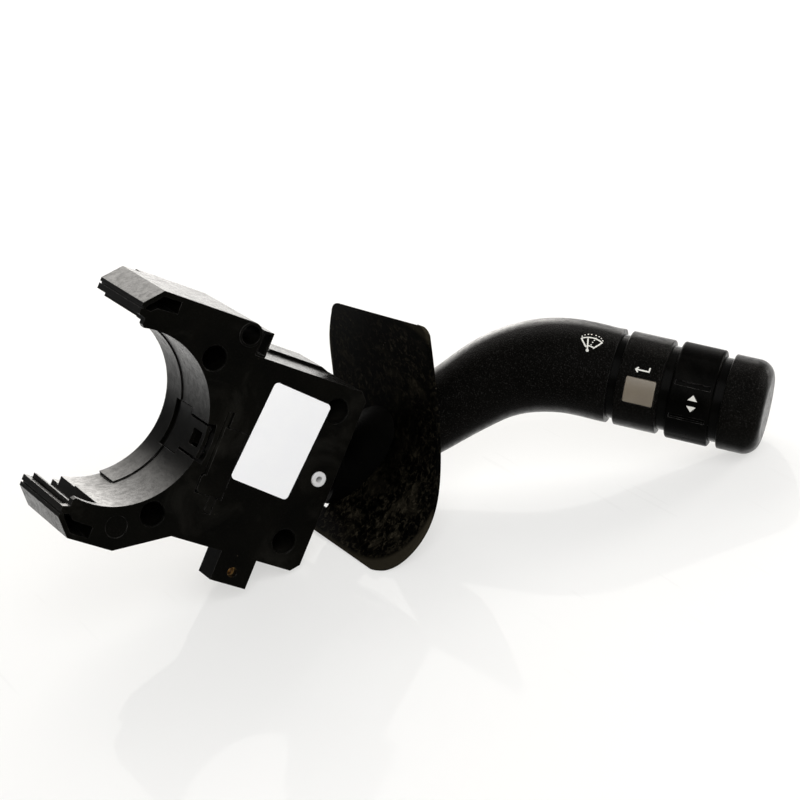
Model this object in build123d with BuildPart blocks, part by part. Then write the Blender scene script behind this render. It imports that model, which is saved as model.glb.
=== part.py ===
"""Combination stalk switch for a steering column, in millimetres.

The origin is on the axis of the steering column seat, at the front face of the
housing. +X points from the column to the stalk, +Z points up and +Y points to
the rear, so that the driver looks at the front face along +Y.
"""

import os
from math import cos, radians, sin, sqrt

from build123d import *

os.makedirs("parts", exist_ok=True)

# Column seat and housing
SEAT_R = 34.0  # the column seat that the front of the housing closes on
SEAT_DEPTH = 38.5  # length of the column seat along the column
SEAT_REAR_R = 34.5  # the seat is relieved above and below the rib
SEAT_RIB_R = 33.5  # proud rib at the rear of the seat, which grips the column
SEAT_RIB_START = 25.0
SEAT_RIB_ANGLES = (-57.0, 75.0)
RELIEF_R = 38.0  # clearance behind the seat
HOUSING_DEPTH = 43.5
BACK_Y = 46.0  # rear face of the back cover
PLATE_THICKNESS = 3.0
WALL = 2.8
BODY_HALF_HEIGHT = 37.2
BODY_RIGHT = 93.6
BODY_CHAMFER = 3.2
ARM_HALF_HEIGHT = 48.7
ARM_TIP_X = -10.2
ARM_TIP_CHAMFER_X = -3.7
ARM_TIP_Z = 42.1
ARM_LOWER_EDGE_END = 15.5
ARM_DIAGONAL_END = 36.4
RAIL_ROOT_X = -7.2
RAIL_INNER_Z = 37.7
RAIL_DEPTH = 39.7
RAIL_GROOVE_Z = 40.3
RAIL_GROOVE_WIDTH = 0.7
RAIL_GROOVE_DEPTH = 0.9
# Hollow behind the front plate at each arm's end, seen along the column: it leaves
# the rail, a thin flange beside it and the end of the seat wall
ARM_HOLLOW = (
    (-12.0, 30.0),
    (-12.0, RAIL_INNER_Z),
    (-7.6, RAIL_INNER_Z),
    (-7.6, 38.6),
    (-6.9, 38.6),
    (-6.9, 35.9),
    (-5.7, 35.9),
    (-5.7, 39.2),
    (4.1, 39.2),
    (4.1, 30.0),
)
ARM_POCKET = (
    (-8.6, 40.3),
    (-8.0, 41.5),
    (-3.3, 46.6),
    (4.4, 46.8),
    (4.5, 42.1),
    (-4.0, 41.7),
    (-6.2, 39.8),
)
ARM_POCKET_DEPTH = 24.0
ARM_REAR_X = 4.9  # nearer the tip than this, the arms are no deeper than their rails
CAVITY_LEFT = 41.0
TOP_PAD = ((59.5, 37.0), (60.5, 38.6), (85.0, 38.6), (91.0, 36.6))  # raised rear part of the top face
TOP_PAD_START = 25.5
LEVER_SLOT = (27.0, 6.5, 30.0, 42.0)  # centre in y and z, width and height

# Boss with the fixing hole, and the tab with the brass insert
BOSS = (36.0, 43.8)
BOSS_R = 4.9
BOSS_HOLE_R = 3.8
BOSS_RIM_WIDTH = 0.9
BOSS_RIM_HEIGHT = 0.35
TAB_LEFT = 58.9
TAB_RIGHT = 74.8
TAB_BOTTOM = -49.0
TAB_DEPTH = 10.5
TAB_HOLE = (66.7, -44.0)
TAB_HOLE_R = 2.05
INSERT_R = 3.1
INSERT_BORE_R = 1.65
INSERT_START = 2.5

SIDE_CLIP = (43.2, 42.1)
SIDE_CLIP_SIZE = (4.6, 9.8)
SIDE_CLIP_WINDOW = (3.2, 8.2)
SIDE_CLIP_DEPTHS = (0.5, 12.0)

# Screw wells
WELLS = ((25.5, 31.2), (83.0, 27.0), (83.0, -27.0), (25.5, -31.2))
WELL_R = 4.8
WELL_RIM = 0.35  # chamfer at the mouth of each well
WELL_DEPTH = 36.0
WELL_WALL = 1.9
SCREW_HEAD_R = 3.6
SCREW_HEAD_HEIGHT = 2.4
SCREW_SHANK_R = 1.5
SCREW_CROSS = (4.2, 0.9, 1.3)  # length, width and depth of the cross recess
SCREW_END_Y = 45.0
EJECTOR_MARK = (13.5, -39.6)
EJECTOR_MARK_R = 4.4
EJECTOR_MARK_DEPTH = 0.3
RIVET = (86.7, 0.0)
RIVET_HEAD_R = 3.05
RIVET_SHANK_R = 2.0
RIVET_BORE_R = 1.25

# Latch flap on the front face and latch tongue in the seat
FLAP_LEFT = 39.6
FLAP_RIGHT = 50.3
FLAP_TOP = 8.0
FLAP_BOTTOM = -18.5
FLAP_THICKNESS = 2.2
FLAP_BULGE = 0.6
FLAP_BULGE_TOP = -11.4
FLAP_PIN = (40.8, 1.3)  # hinge pin, as (x, y)
FLAP_PIN_R = 1.2
FLAP_PIN_TOP = 13.9
FLAP_STOP = (46.7, 1.3, -25.0)  # tongue at the foot of the flap: centre, half width, end
FLAP_GAP = 0.3
FLAP_FINGER = (1.0, 6.0, 9.8)  # finger behind the pin: width, height, rear end
TONGUE_R = 35.6  # back of the latch tongue
TONGUE_NARROW = 10.6  # half angles of the tongue's front and rear
TONGUE_WIDE = 15.6
TONGUE_STEP_Y = 15.0
TONGUE_END_Y = 28.2
TONGUE_GAP_R = 37.6
TONGUE_WINDOW_ANGLE = 5.2
TONGUE_WINDOW = (2.6, 10.2)

# Lever: the centre line runs from the pivot to the shield, to the bend, to the end cap
LEVER_Y = 30.0
PIVOT_X = 58.0
ROOT_CORNER = Vector(112.5, LEVER_Y, 0)
BEND_CORNER = Vector(147.5, -11.2, 72.7)
END_DIRECTION = Vector(0.697, -0.696, 0.170).normalized()
ROOT_RADIUS = 22.0
BEND_RADIUS = 56.0
NECK_START_X = 84.0
NECK_START = 5.0  # this and the next four are distances along the centre line
GRIP_START = 46.0
SHIELD_HOLE_END = 76.0
SHIELD_HOLE_GAP = 0.3
FLARE_START = 68.0  # the stalk grows from the neck's radius to the grip's between these
FLARE_END = 130.0
ROOT_R = 8.8
NECK_R = 14.8
GRIP_R = 18.4
GRIP_WALL = 2.8
GRIP_FLOOR = 4.0
SLEEVE_R = 16.4
SLEEVE_WALL = 2.2
SLEEVE_OVERLAP = 8.0
CORE_R = 7.5
CORE_WALL = 2.0
RUNNING_GAP = 0.08
EDGE_BREAK = 0.5
# Places along the end direction, measured from the bend corner
GRIP_END = 35.2
BUTTON_RING = (38.4, 55.1)
SELECTOR_RING = (58.6, 75.4)
CAP_START = 78.9
CAP_END = 94.6
SLEEVE_END = 87.2
CAP_CORNER = 6.5
# The direction that the push button faces, square to the end direction
FACE_DIRECTION = Vector(-0.668, -0.718, -0.197)

# Push button, and the switches under the button and the cap
BUTTON_SIZE = (11.6, 9.9)
BUTTON_GAP = 0.25
BUTTON_CORNER = 0.6
BUTTON_OFFSET = 0.9  # from the middle of its ring, along the stalk
BUTTON_PROUD = 0.15
BUTTON_FLOOR = 13.0  # this and the next three are heights above the stalk's centre line
BUTTON_WINDOW_FLOOR = 8.0
BUTTON_SWITCH_FLOOR = 7.8
SWITCH_BOARD_FLOOR = 6.4
SWITCH_BOARD_SIZE = (48.0, 16.0, 1.4)
SWITCH_BOARD_OFFSET = 10.0
BUTTON_SWITCH_SIZE = (6.0, 6.0, 3.0)
BUTTON_SWITCH_TIP = (1.6, 0.8)  # radius and height
END_SWITCH_START = 77.5
END_SWITCH_SIZE = (12.0, 9.0, 6.0)
END_SWITCH_TIP = (1.8, 1.4)
SWITCH_HOLE_R = 3.4

# Selector ring: angles are in degrees round the stalk from the button's direction
SELECTOR_R = 18.2
SELECTOR_END_RADIUS = 0.9
THUMB_RIDGE = (-88.0, 0.8, 14.0)  # angle of its middle, height over the ring and radius
LOWER_RIDGE = (86.0, 0.6, 15.0)
RIDGE_BLEND = 6.0  # radius where a ridge runs into the ring
SELECTOR_BARS = ((-24.5, -18.8), (17.5, 23.3))
SELECTOR_BAR_DEPTH = 1.1
SELECTOR_BAR_MARGIN = 1.5

# End cap
CAP_BORE_DEPTH = 11.0
CAP_HOLLOW_R = 11.0
CAP_HOLLOW_DEPTH = 2.6
CAP_STEM_R = 2.8
CAP_STEM = (9.2, 14.0)  # start and end, from the cap's open end

# Pivots
CRADLE_PIN_R = 3.0
CRADLE_BARREL_R = 7.0
CRADLE_FRONT_Y = 14.0
CRADLE_REAR_Y = 40.6
PIVOT_BOSS_R = 5.5
PIN_FRONT_Y = 1.9
PIN_REAR_Y = 44.4
PULL_X = 72.5
PULL_PIN_R = 2.5
PULL_BARREL_R = 6.0
PULL_BARREL_HALF = 9.2
FORK_R = 6.5
FORK_HALF = 13.0  # half height of the cradle's fork
FORK_SLOT_HALF = 9.5
FORK_SLOT_SIZE = (16.0, 30.0)
FORK_SLOT_OFFSET = 1.0
PIN_CLEARANCE = 0.05

# Switchgear inside the housing
DETENT_ANGLE = 75.0  # direction of the detent plunger from the pivot, in degrees above +X
DETENT_Y = 25.0
DETENT_ARM = (5.0, 20.0)
DETENT_ARM_SECTION = (8.0, 7.0)
DETENT_BORE_START = 9.0
PLUNGER = (14.6, 24.4)
PLUNGER_R = 2.2
SPRING_GAP = 0.8
SPRING_R = 2.0
SPRING_BORE_R = 1.3
TRACK_R = 27.0
TRACK_STEPS = 4
TRACK_STEP_ANGLE = 6.0
TRACK_NOTCH_R = 0.9
TRACK_CENTRE_X = 60.5
TRACK_WIDTH = 21.0
TRACK_BOTTOM_Z = 23.0
TRACK_DEPTHS = (20.5, 29.5)
CONTACT_ARM_CENTRE_Z = -13.0
CONTACT_ARM_SECTION = (5.0, 16.0)
CONTACT_ARM_DEPTHS = (33.0, 36.0)
SLIDER_CENTRE_Z = -17.5
SLIDER_SIZE = (4.4, 6.0)
SLIDER_GAP = 0.4
BOARD_Y = 39.3
BOARD_THICKNESS = 1.4
BOARD = (42.0, 67.0, -34.0, -14.0)
CONNECTOR = (54.5, -24.0)
CONNECTOR_BASE = (19.0, 9.0)
CONNECTOR_SHELL = (23.0, 13.0)
CONNECTOR_END_Y = 58.0
CONNECTOR_FLOOR_Y = 47.5
CONNECTOR_WALL = 1.8
PIN_WIDTH = 0.8
PIN_END_Y = 53.0
PIN_COLUMNS = 6
PIN_PITCH = 2.8
PIN_ROW_PITCH = 3.8

# Label
LABEL_CENTRE = (65.2, 9.4)
LABEL_SIZE = (26.6, 40.0)
LABEL_CORNER = 1.8
LABEL_TURN = -4.2
LABEL_THICKNESS = 0.15

# Dust shield, part of a thin cylinder, and the collar that backs it
SHIELD_R = 76.4
SHIELD_THICKNESS = 1.6
SHIELD_CENTRE = Vector(42.3, -25.0, 10.6)
SHIELD_AXIS = Vector(-0.09, 0.99, -0.11).normalized()
SHIELD_HALF_LENGTH = 80.0
SHIELD_NEAR_X = 60.0
SHIELD_REACH = 75.0
SHIELD_BOTTOM_Z = -22.9
SHIELD_FRONT_EDGE = (  # these four are seen along X, from the top down
    (-23.6, 67.2),
    (-21.3, 61.5),
    (-19.9, 53.0),
    (-20.4, 44.5),
    (-23.1, 34.0),
    (-27.7, 21.5),
    (-32.4, 10.0),
    (-35.0, -0.6),
    (-34.6, -11.7),
    (-31.5, -18.8),
    (-27.7, -21.9),
    (-23.4, -23.4),
)
SHIELD_TOP_EDGE = ((-21.2, 69.8), (-6.9, 68.1), (29.0, 63.9))
SHIELD_REAR_EDGE = (
    (39.7, 58.6),
    (43.8, 54.0),
    (47.2, 47.5),
    (47.6, 39.0),
    (44.5, 27.0),
    (34.0, 8.0),
    (24.5, -6.0),
)
SHIELD_CORNERS = ((-23.6, 69.5), (35.2, 62.2))
SHIELD_NOTCH = (24.5, 33.0, -13.8)  # between these two, the sheet reaches up to the third
COLLAR_START = 22.0  # distance along the centre line
COLLAR_WALL = 3.2


def front_plane(depth: float) -> Plane:
    """Sketch plane square to the column at a depth behind the front face.

    Its first axis is +X, its second is +Z, and extrude() comes towards the front.
    """
    return Plane.XZ.offset(-depth)


def polar(radius: float, angle: float) -> tuple[float, float]:
    """Point at a radius and an angle in degrees round the column axis."""
    return radius * cos(radians(angle)), radius * sin(radians(angle))


def seat_sector(inner: float, outer: float, low: float, high: float) -> None:
    """Adds a ring segment round the column axis to the current sketch."""
    middle = (low + high) / 2
    with BuildLine() as edge:
        inner_arc = ThreePointArc(polar(inner, low), polar(inner, middle), polar(inner, high))
        outer_arc = ThreePointArc(polar(outer, low), polar(outer, middle), polar(outer, high))
        Line(inner_arc @ 0, outer_arc @ 0)
        Line(inner_arc @ 1, outer_arc @ 1)
    make_face(edge.edges())


def arm_end(seat_radius: float, with_rails: bool) -> list[tuple[float, float]]:
    """Corners of the upper arm's end, from the seat to the top edge."""
    seat_x = RAIL_ROOT_X + 1.0
    seat_z = sqrt(seat_radius**2 - seat_x**2)
    corners = [(seat_x, seat_z), (RAIL_ROOT_X, seat_z + 1.0)]
    if with_rails:
        corners += [(RAIL_ROOT_X, RAIL_INNER_Z - 0.8), (ARM_TIP_X, RAIL_INNER_Z), (ARM_TIP_X, ARM_TIP_Z)]
    else:
        corners.append((RAIL_ROOT_X, ARM_TIP_Z + 3.0))
    return corners + [(ARM_TIP_CHAMFER_X, ARM_HALF_HEIGHT)]


def housing_outline(seat_radius: float, with_rails: bool) -> None:
    """Adds the C-shaped outline of the housing to the current sketch."""
    upper_end = arm_end(seat_radius, with_rails)
    lower_end = [(x, -z) for x, z in reversed(upper_end)]
    with BuildLine() as edge:
        boss_arc = ThreePointArc(
            (BOSS[0], BOSS[1] + BOSS_R),
            (BOSS[0] + BOSS_R * cos(radians(45)), BOSS[1] + BOSS_R * sin(radians(45))),
            (BOSS[0] + BOSS_R, BOSS[1]),
        )
        Polyline(*upper_end, boss_arc @ 0)
        Polyline(
            boss_arc @ 1,
            (BOSS[0] + BOSS_R, BODY_HALF_HEIGHT),
            (BODY_RIGHT - BODY_CHAMFER, BODY_HALF_HEIGHT),
            (BODY_RIGHT, BODY_HALF_HEIGHT - BODY_CHAMFER),
            (BODY_RIGHT, BODY_CHAMFER - BODY_HALF_HEIGHT),
            (BODY_RIGHT - BODY_CHAMFER, -BODY_HALF_HEIGHT),
            (ARM_DIAGONAL_END, -BODY_HALF_HEIGHT),
            (ARM_LOWER_EDGE_END, -ARM_HALF_HEIGHT),
            *lower_end,
        )
        ThreePointArc(lower_end[-1], (seat_radius, 0), upper_end[0])
    make_face(edge.edges())


def mirrored_polygon(corners: tuple[tuple[float, float], ...]) -> None:
    """Adds a polygon and its mirror image below the column axis to the current sketch."""
    for side in (1, -1):
        with BuildLine() as edge:
            Polyline(*[(x, side * z) for x, z in corners], close=True)
        make_face(edge.edges())


def behind_arm_tips() -> None:
    """Adds the two rectangles that hold the arm tips to the current sketch."""
    width = ARM_REAR_X - ARM_TIP_X + 2
    for side in (1, -1):
        with Locations((ARM_REAR_X - width / 2, side * ARM_HALF_HEIGHT)):
            Rectangle(width, ARM_HALF_HEIGHT)


def top_pad() -> None:
    """Adds the section of the raised rear part of the top face to the current sketch."""
    with BuildLine() as edge:
        Polyline(*TOP_PAD, close=True)
    make_face(edge.edges())


# The housing: one deep moulding with the front plate, the seat and both arms
with BuildPart() as housing_body:
    with BuildSketch(front_plane(SEAT_DEPTH)):
        housing_outline(SEAT_R, with_rails=True)
    extrude(amount=SEAT_DEPTH)
    with BuildSketch(front_plane(HOUSING_DEPTH)):
        housing_outline(RELIEF_R, with_rails=False)
    extrude(amount=HOUSING_DEPTH - SEAT_DEPTH)
    with BuildSketch(front_plane(HOUSING_DEPTH)):
        top_pad()
    extrude(amount=HOUSING_DEPTH - TOP_PAD_START)
    # Rails run a little past the seat, and the arm tips are no deeper than the rails
    with BuildSketch(front_plane(RAIL_DEPTH)):
        mirrored_polygon(
            (
                (ARM_TIP_X, RAIL_INNER_Z),
                (ARM_TIP_X, ARM_TIP_Z),
                (ARM_TIP_CHAMFER_X, ARM_HALF_HEIGHT),
                (ARM_TIP_CHAMFER_X, RAIL_INNER_Z),
            )
        )
    extrude(amount=RAIL_DEPTH - SEAT_DEPTH)
    with BuildSketch(front_plane(HOUSING_DEPTH)):
        behind_arm_tips()
    extrude(amount=HOUSING_DEPTH - RAIL_DEPTH, mode=Mode.SUBTRACT)
    # The seat is relieved at the rear, except at the proud rib that grips the column
    with BuildSketch(front_plane(SEAT_DEPTH)):
        seat_sector(SEAT_R - 1, SEAT_REAR_R, SEAT_RIB_ANGLES[1], 110)
        seat_sector(SEAT_R - 1, SEAT_REAR_R, -110, SEAT_RIB_ANGLES[0])
    extrude(amount=SEAT_DEPTH - SEAT_RIB_START, mode=Mode.SUBTRACT)
    with BuildSketch(front_plane(SEAT_DEPTH)):
        seat_sector(SEAT_RIB_R, SEAT_R + 0.5, *SEAT_RIB_ANGLES)
    extrude(amount=SEAT_DEPTH - SEAT_RIB_START)
    # Main cavity, open to the rear
    with BuildSketch(front_plane(HOUSING_DEPTH)):
        with Locations(((CAVITY_LEFT + BODY_RIGHT - WALL) / 2, 0)):
            Rectangle(BODY_RIGHT - WALL - CAVITY_LEFT, 2 * (BODY_HALF_HEIGHT - WALL))
    extrude(amount=HOUSING_DEPTH - PLATE_THICKNESS, mode=Mode.SUBTRACT)
    # Columns round the two right-hand screw wells
    with BuildSketch(front_plane(WELL_DEPTH + WALL)):
        for well in WELLS[1:3]:
            with Locations(well):
                Circle(WELL_R + WELL_WALL)
    extrude(amount=WELL_DEPTH)
    # Boss that carries the front end of the cradle pin
    with BuildSketch(front_plane(CRADLE_FRONT_Y - 0.4)):
        with Locations((PIVOT_X, 0)):
            Circle(PIVOT_BOSS_R)
    extrude(amount=CRADLE_FRONT_Y - 0.4 - PLATE_THICKNESS)
    # Slot that the lever neck swings in
    with BuildSketch(Plane.YZ.offset(BODY_RIGHT - WALL - 1)):
        with Locations(LEVER_SLOT[:2]):
            SlotOverall(LEVER_SLOT[3], LEVER_SLOT[2], rotation=90)
    extrude(amount=WALL + 2, mode=Mode.SUBTRACT)
    # Wells, screw holes and the boss hole
    with BuildSketch(front_plane(WELL_DEPTH)):
        with Locations(*WELLS):
            Circle(WELL_R)
    extrude(amount=WELL_DEPTH, mode=Mode.SUBTRACT)
    with BuildSketch(front_plane(WELL_RIM)):
        with Locations(*WELLS):
            Circle(WELL_R)
    extrude(amount=WELL_RIM, taper=-45, mode=Mode.SUBTRACT)
    with BuildSketch(front_plane(HOUSING_DEPTH)):
        with Locations(*WELLS):
            Circle(SCREW_SHANK_R)
        with Locations((PIVOT_X, 0)):
            Circle(CRADLE_PIN_R)
    extrude(amount=HOUSING_DEPTH - PIN_FRONT_Y, mode=Mode.SUBTRACT)
    with BuildSketch(front_plane(HOUSING_DEPTH)):
        with Locations(BOSS):
            Circle(BOSS_HOLE_R)
        with Locations(RIVET):
            Circle(RIVET_SHANK_R)
    extrude(amount=HOUSING_DEPTH, mode=Mode.SUBTRACT)
    # Shallow rim round the boss hole and the ejector mark on the lower arm
    with BuildSketch(front_plane(0)):
        with Locations(BOSS):
            Circle(BOSS_HOLE_R + BOSS_RIM_WIDTH)
            Circle(BOSS_HOLE_R, mode=Mode.SUBTRACT)
    extrude(amount=BOSS_RIM_HEIGHT)
    with BuildSketch(front_plane(EJECTOR_MARK_DEPTH)):
        with Locations(EJECTOR_MARK):
            Circle(EJECTOR_MARK_R)
    extrude(amount=EJECTOR_MARK_DEPTH, mode=Mode.SUBTRACT)
    # Pockets in the front of the arm tips, and the hollows behind them
    with BuildSketch(front_plane(ARM_POCKET_DEPTH)):
        mirrored_polygon(ARM_POCKET)
    extrude(amount=ARM_POCKET_DEPTH, mode=Mode.SUBTRACT)
    with BuildSketch(front_plane(HOUSING_DEPTH)):
        mirrored_polygon(ARM_HOLLOW)
    extrude(amount=HOUSING_DEPTH - PLATE_THICKNESS, mode=Mode.SUBTRACT)
    # Lengthwise groove in each rail
    with BuildSketch(front_plane(RAIL_DEPTH)):
        for side in (1, -1):
            with Locations((ARM_TIP_X + RAIL_GROOVE_DEPTH / 2, side * RAIL_GROOVE_Z)):
                Rectangle(RAIL_GROOVE_DEPTH, RAIL_GROOVE_WIDTH)
    extrude(amount=RAIL_DEPTH, mode=Mode.SUBTRACT)
    # Tab below the front plate
    with BuildSketch(front_plane(TAB_DEPTH)):
        with Locations(((TAB_LEFT + TAB_RIGHT) / 2, (TAB_BOTTOM - BODY_HALF_HEIGHT + 1) / 2)):
            Rectangle(TAB_RIGHT - TAB_LEFT, -BODY_HALF_HEIGHT + 1 - TAB_BOTTOM)
    extrude(amount=TAB_DEPTH)
    with BuildSketch(front_plane(TAB_DEPTH)):
        with Locations(TAB_HOLE):
            Circle(INSERT_R)
    extrude(amount=TAB_DEPTH - INSERT_START, mode=Mode.SUBTRACT)
    with BuildSketch(front_plane(TAB_DEPTH)):
        with Locations(TAB_HOLE):
            Circle(TAB_HOLE_R)
    extrude(amount=TAB_DEPTH, mode=Mode.SUBTRACT)
    # Opening for the latch flap, with the seats of its pin and stop
    with BuildSketch(front_plane(PLATE_THICKNESS)):
        with BuildLine():
            Polyline(
                (FLAP_LEFT - FLAP_GAP, FLAP_TOP + FLAP_GAP),
                (FLAP_RIGHT + FLAP_GAP, FLAP_TOP + FLAP_GAP),
                (FLAP_RIGHT + FLAP_GAP, FLAP_BOTTOM - FLAP_GAP),
                (FLAP_LEFT - FLAP_BULGE - 2 * FLAP_GAP, FLAP_BOTTOM - FLAP_GAP),
                (FLAP_LEFT - FLAP_BULGE - 2 * FLAP_GAP, FLAP_BULGE_TOP + FLAP_GAP),
                (FLAP_LEFT - FLAP_GAP, FLAP_BULGE_TOP + 2 * FLAP_GAP),
                close=True,
            )
        make_face()
    extrude(amount=PLATE_THICKNESS, mode=Mode.SUBTRACT)
    with BuildSketch(front_plane(FLAP_PIN[1] + FLAP_PIN_R + 0.15)):
        with Locations((FLAP_PIN[0], (FLAP_TOP + FLAP_PIN_TOP + FLAP_GAP) / 2)):
            Rectangle(2 * (FLAP_PIN_R + FLAP_GAP), FLAP_PIN_TOP - FLAP_TOP + FLAP_GAP)
        with Locations((FLAP_STOP[0], (FLAP_BOTTOM + FLAP_STOP[2] - FLAP_GAP) / 2)):
            Rectangle(2 * (FLAP_STOP[1] + FLAP_GAP), FLAP_BOTTOM - FLAP_STOP[2] + FLAP_GAP)
    extrude(amount=FLAP_PIN[1] + FLAP_PIN_R + 0.15, mode=Mode.SUBTRACT)
    # Opening for the latch tongue, through the seat wall
    with BuildSketch(front_plane(TONGUE_STEP_Y + FLAP_GAP)):
        seat_sector(SEAT_R - 1.5, TONGUE_GAP_R, -TONGUE_NARROW - 1.6, TONGUE_NARROW + 1.6)
    extrude(amount=TONGUE_STEP_Y + FLAP_GAP, mode=Mode.SUBTRACT)
    with BuildSketch(front_plane(TONGUE_END_Y + FLAP_GAP)):
        seat_sector(SEAT_R - 1.5, CAVITY_LEFT + 1, -TONGUE_WIDE - 0.5, TONGUE_WIDE + 0.5)
    extrude(amount=TONGUE_END_Y - TONGUE_STEP_Y + 2 * FLAP_GAP, mode=Mode.SUBTRACT)
    with BuildSketch(front_plane(TONGUE_STEP_Y)):
        seat_sector(SEAT_R + 0.5, CAVITY_LEFT + 1, -TONGUE_NARROW + 1, TONGUE_NARROW - 1)
    extrude(amount=TONGUE_STEP_Y - PLATE_THICKNESS, mode=Mode.SUBTRACT)
housing_body.part.label = "housing_body"
export_step(housing_body.part, "parts/housing_body.step")

# Back cover over the cavity
with BuildPart() as back_cover:
    with BuildSketch(front_plane(BACK_Y)):
        housing_outline(RELIEF_R, with_rails=False)
        with Locations(BOSS):
            Circle(BOSS_HOLE_R, mode=Mode.SUBTRACT)
        with Locations(*WELLS):
            Circle(SCREW_SHANK_R, mode=Mode.SUBTRACT)
        top_pad()
    extrude(amount=BACK_Y - HOUSING_DEPTH)
    with BuildSketch(front_plane(BACK_Y)):
        behind_arm_tips()
    extrude(amount=BACK_Y - HOUSING_DEPTH, mode=Mode.SUBTRACT)
    # Boss that carries the rear end of the cradle pin
    with BuildSketch(front_plane(HOUSING_DEPTH)):
        with Locations((PIVOT_X, 0)):
            Circle(PIVOT_BOSS_R)
    extrude(amount=HOUSING_DEPTH - CRADLE_REAR_Y - 0.4)
    with BuildSketch(front_plane(PIN_REAR_Y)):
        with Locations((PIVOT_X, 0)):
            Circle(CRADLE_PIN_R)
    extrude(amount=PIN_REAR_Y - CRADLE_REAR_Y, mode=Mode.SUBTRACT)
    # Window for the connector
    with BuildSketch(front_plane(BACK_Y)):
        with Locations(CONNECTOR):
            Rectangle(*CONNECTOR_BASE)
    extrude(amount=BACK_Y - HOUSING_DEPTH, mode=Mode.SUBTRACT)
back_cover.part.label = "back_cover"
export_step(back_cover.part, "parts/back_cover.step")

# Four screws at the foot of the wells, into the back cover
with BuildPart() as cover_screws:
    with BuildSketch(front_plane(WELL_DEPTH)):
        with Locations(*WELLS):
            Circle(SCREW_HEAD_R)
    extrude(amount=SCREW_HEAD_HEIGHT)
    with BuildSketch(front_plane(SCREW_END_Y)):
        with Locations(*WELLS):
            Circle(SCREW_SHANK_R)
    extrude(amount=SCREW_END_Y - WELL_DEPTH)
    with BuildSketch(front_plane(WELL_DEPTH - SCREW_HEAD_HEIGHT + SCREW_CROSS[2])):
        with Locations(*WELLS):
            Rectangle(SCREW_CROSS[0], SCREW_CROSS[1])
            Rectangle(SCREW_CROSS[1], SCREW_CROSS[0])
    extrude(amount=SCREW_CROSS[2], mode=Mode.SUBTRACT)
cover_screws.part.label = "cover_screws"
export_step(cover_screws.part, "parts/cover_screws.step")

# Latch flap: panel, hinge pin along its left edge, stop tongue and finger
with BuildPart() as latch_flap:
    with BuildSketch(front_plane(FLAP_THICKNESS)):
        with BuildLine():
            Polyline(
                (FLAP_PIN[0], FLAP_TOP),
                (FLAP_RIGHT, FLAP_TOP),
                (FLAP_RIGHT, FLAP_BOTTOM),
                (FLAP_LEFT - FLAP_BULGE + 1.2, FLAP_BOTTOM),
                (FLAP_LEFT - FLAP_BULGE, FLAP_BOTTOM + 1.2),
                (FLAP_LEFT - FLAP_BULGE, FLAP_BULGE_TOP - 1.0),
                (FLAP_LEFT, FLAP_BULGE_TOP),
                (FLAP_PIN[0], FLAP_BULGE_TOP),
                close=True,
            )
        make_face()
    extrude(amount=FLAP_THICKNESS)
    with BuildSketch(Plane.XY.offset(FLAP_BOTTOM)):
        with Locations(FLAP_PIN):
            Circle(FLAP_PIN_R)
    extrude(amount=FLAP_PIN_TOP - FLAP_BOTTOM)
    with BuildSketch(front_plane(FLAP_THICKNESS)):
        with Locations((FLAP_STOP[0], (FLAP_BOTTOM + FLAP_STOP[2]) / 2)):
            Rectangle(2 * FLAP_STOP[1], FLAP_BOTTOM - FLAP_STOP[2] + 0.02)
    extrude(amount=FLAP_THICKNESS - 0.1)
    with BuildSketch(front_plane(FLAP_FINGER[2])):
        with Locations((FLAP_PIN[0], 0)):
            Rectangle(FLAP_FINGER[0], FLAP_FINGER[1])
    extrude(amount=FLAP_FINGER[2] - FLAP_PIN[1])
latch_flap.part.label = "latch_flap"
export_step(latch_flap.part, "parts/latch_flap.step")

# Latch tongue in the seat wall, with the hook that the flap's finger pulls
with BuildPart() as latch_tongue:
    with BuildSketch(front_plane(TONGUE_STEP_Y)):
        seat_sector(SEAT_R, TONGUE_R, -TONGUE_NARROW, TONGUE_NARROW)
    extrude(amount=TONGUE_STEP_Y - FLAP_GAP)
    with BuildSketch(front_plane(TONGUE_END_Y)):
        seat_sector(SEAT_R, TONGUE_R, -TONGUE_WIDE, TONGUE_WIDE)
    extrude(amount=TONGUE_END_Y - TONGUE_STEP_Y)
    with BuildSketch(front_plane(TONGUE_WINDOW[1])):
        seat_sector(SEAT_R - 2, TONGUE_R + 1, -TONGUE_WINDOW_ANGLE, TONGUE_WINDOW_ANGLE)
    extrude(amount=TONGUE_WINDOW[1] - TONGUE_WINDOW[0], mode=Mode.SUBTRACT)
    with BuildSketch(front_plane(TONGUE_END_Y)):
        seat_sector(SEAT_R - 1, SEAT_REAR_R, -TONGUE_WIDE - 1, TONGUE_WIDE + 1)
    extrude(amount=TONGUE_END_Y - SEAT_RIB_START, mode=Mode.SUBTRACT)
    hook_x = FLAP_PIN[0] + FLAP_FINGER[0] / 2 + 0.4
    with BuildSketch(front_plane(FLAP_FINGER[2] + 2.2)):
        with Locations(((TONGUE_R - 0.5 + hook_x + 1.5) / 2, 0)):
            Rectangle(hook_x + 1.5 - TONGUE_R + 0.5, FLAP_FINGER[1] - 1)
    extrude(amount=1.6)
    with BuildSketch(front_plane(FLAP_FINGER[2] + 1.0)):
        with Locations((hook_x + 0.75, 0)):
            Rectangle(1.5, FLAP_FINGER[1] - 1)
    extrude(amount=4.0)
latch_tongue.part.label = "latch_tongue"
export_step(latch_tongue.part, "parts/latch_tongue.step")

# Label, rivet, brass insert and the clip beside the boss
with BuildPart() as part_label:
    with BuildSketch(front_plane(0)):
        with Locations(LABEL_CENTRE):
            RectangleRounded(*LABEL_SIZE, LABEL_CORNER, rotation=LABEL_TURN)
    extrude(amount=LABEL_THICKNESS)
part_label.part.label = "part_label"
export_step(part_label.part, "parts/part_label.step")

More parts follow.
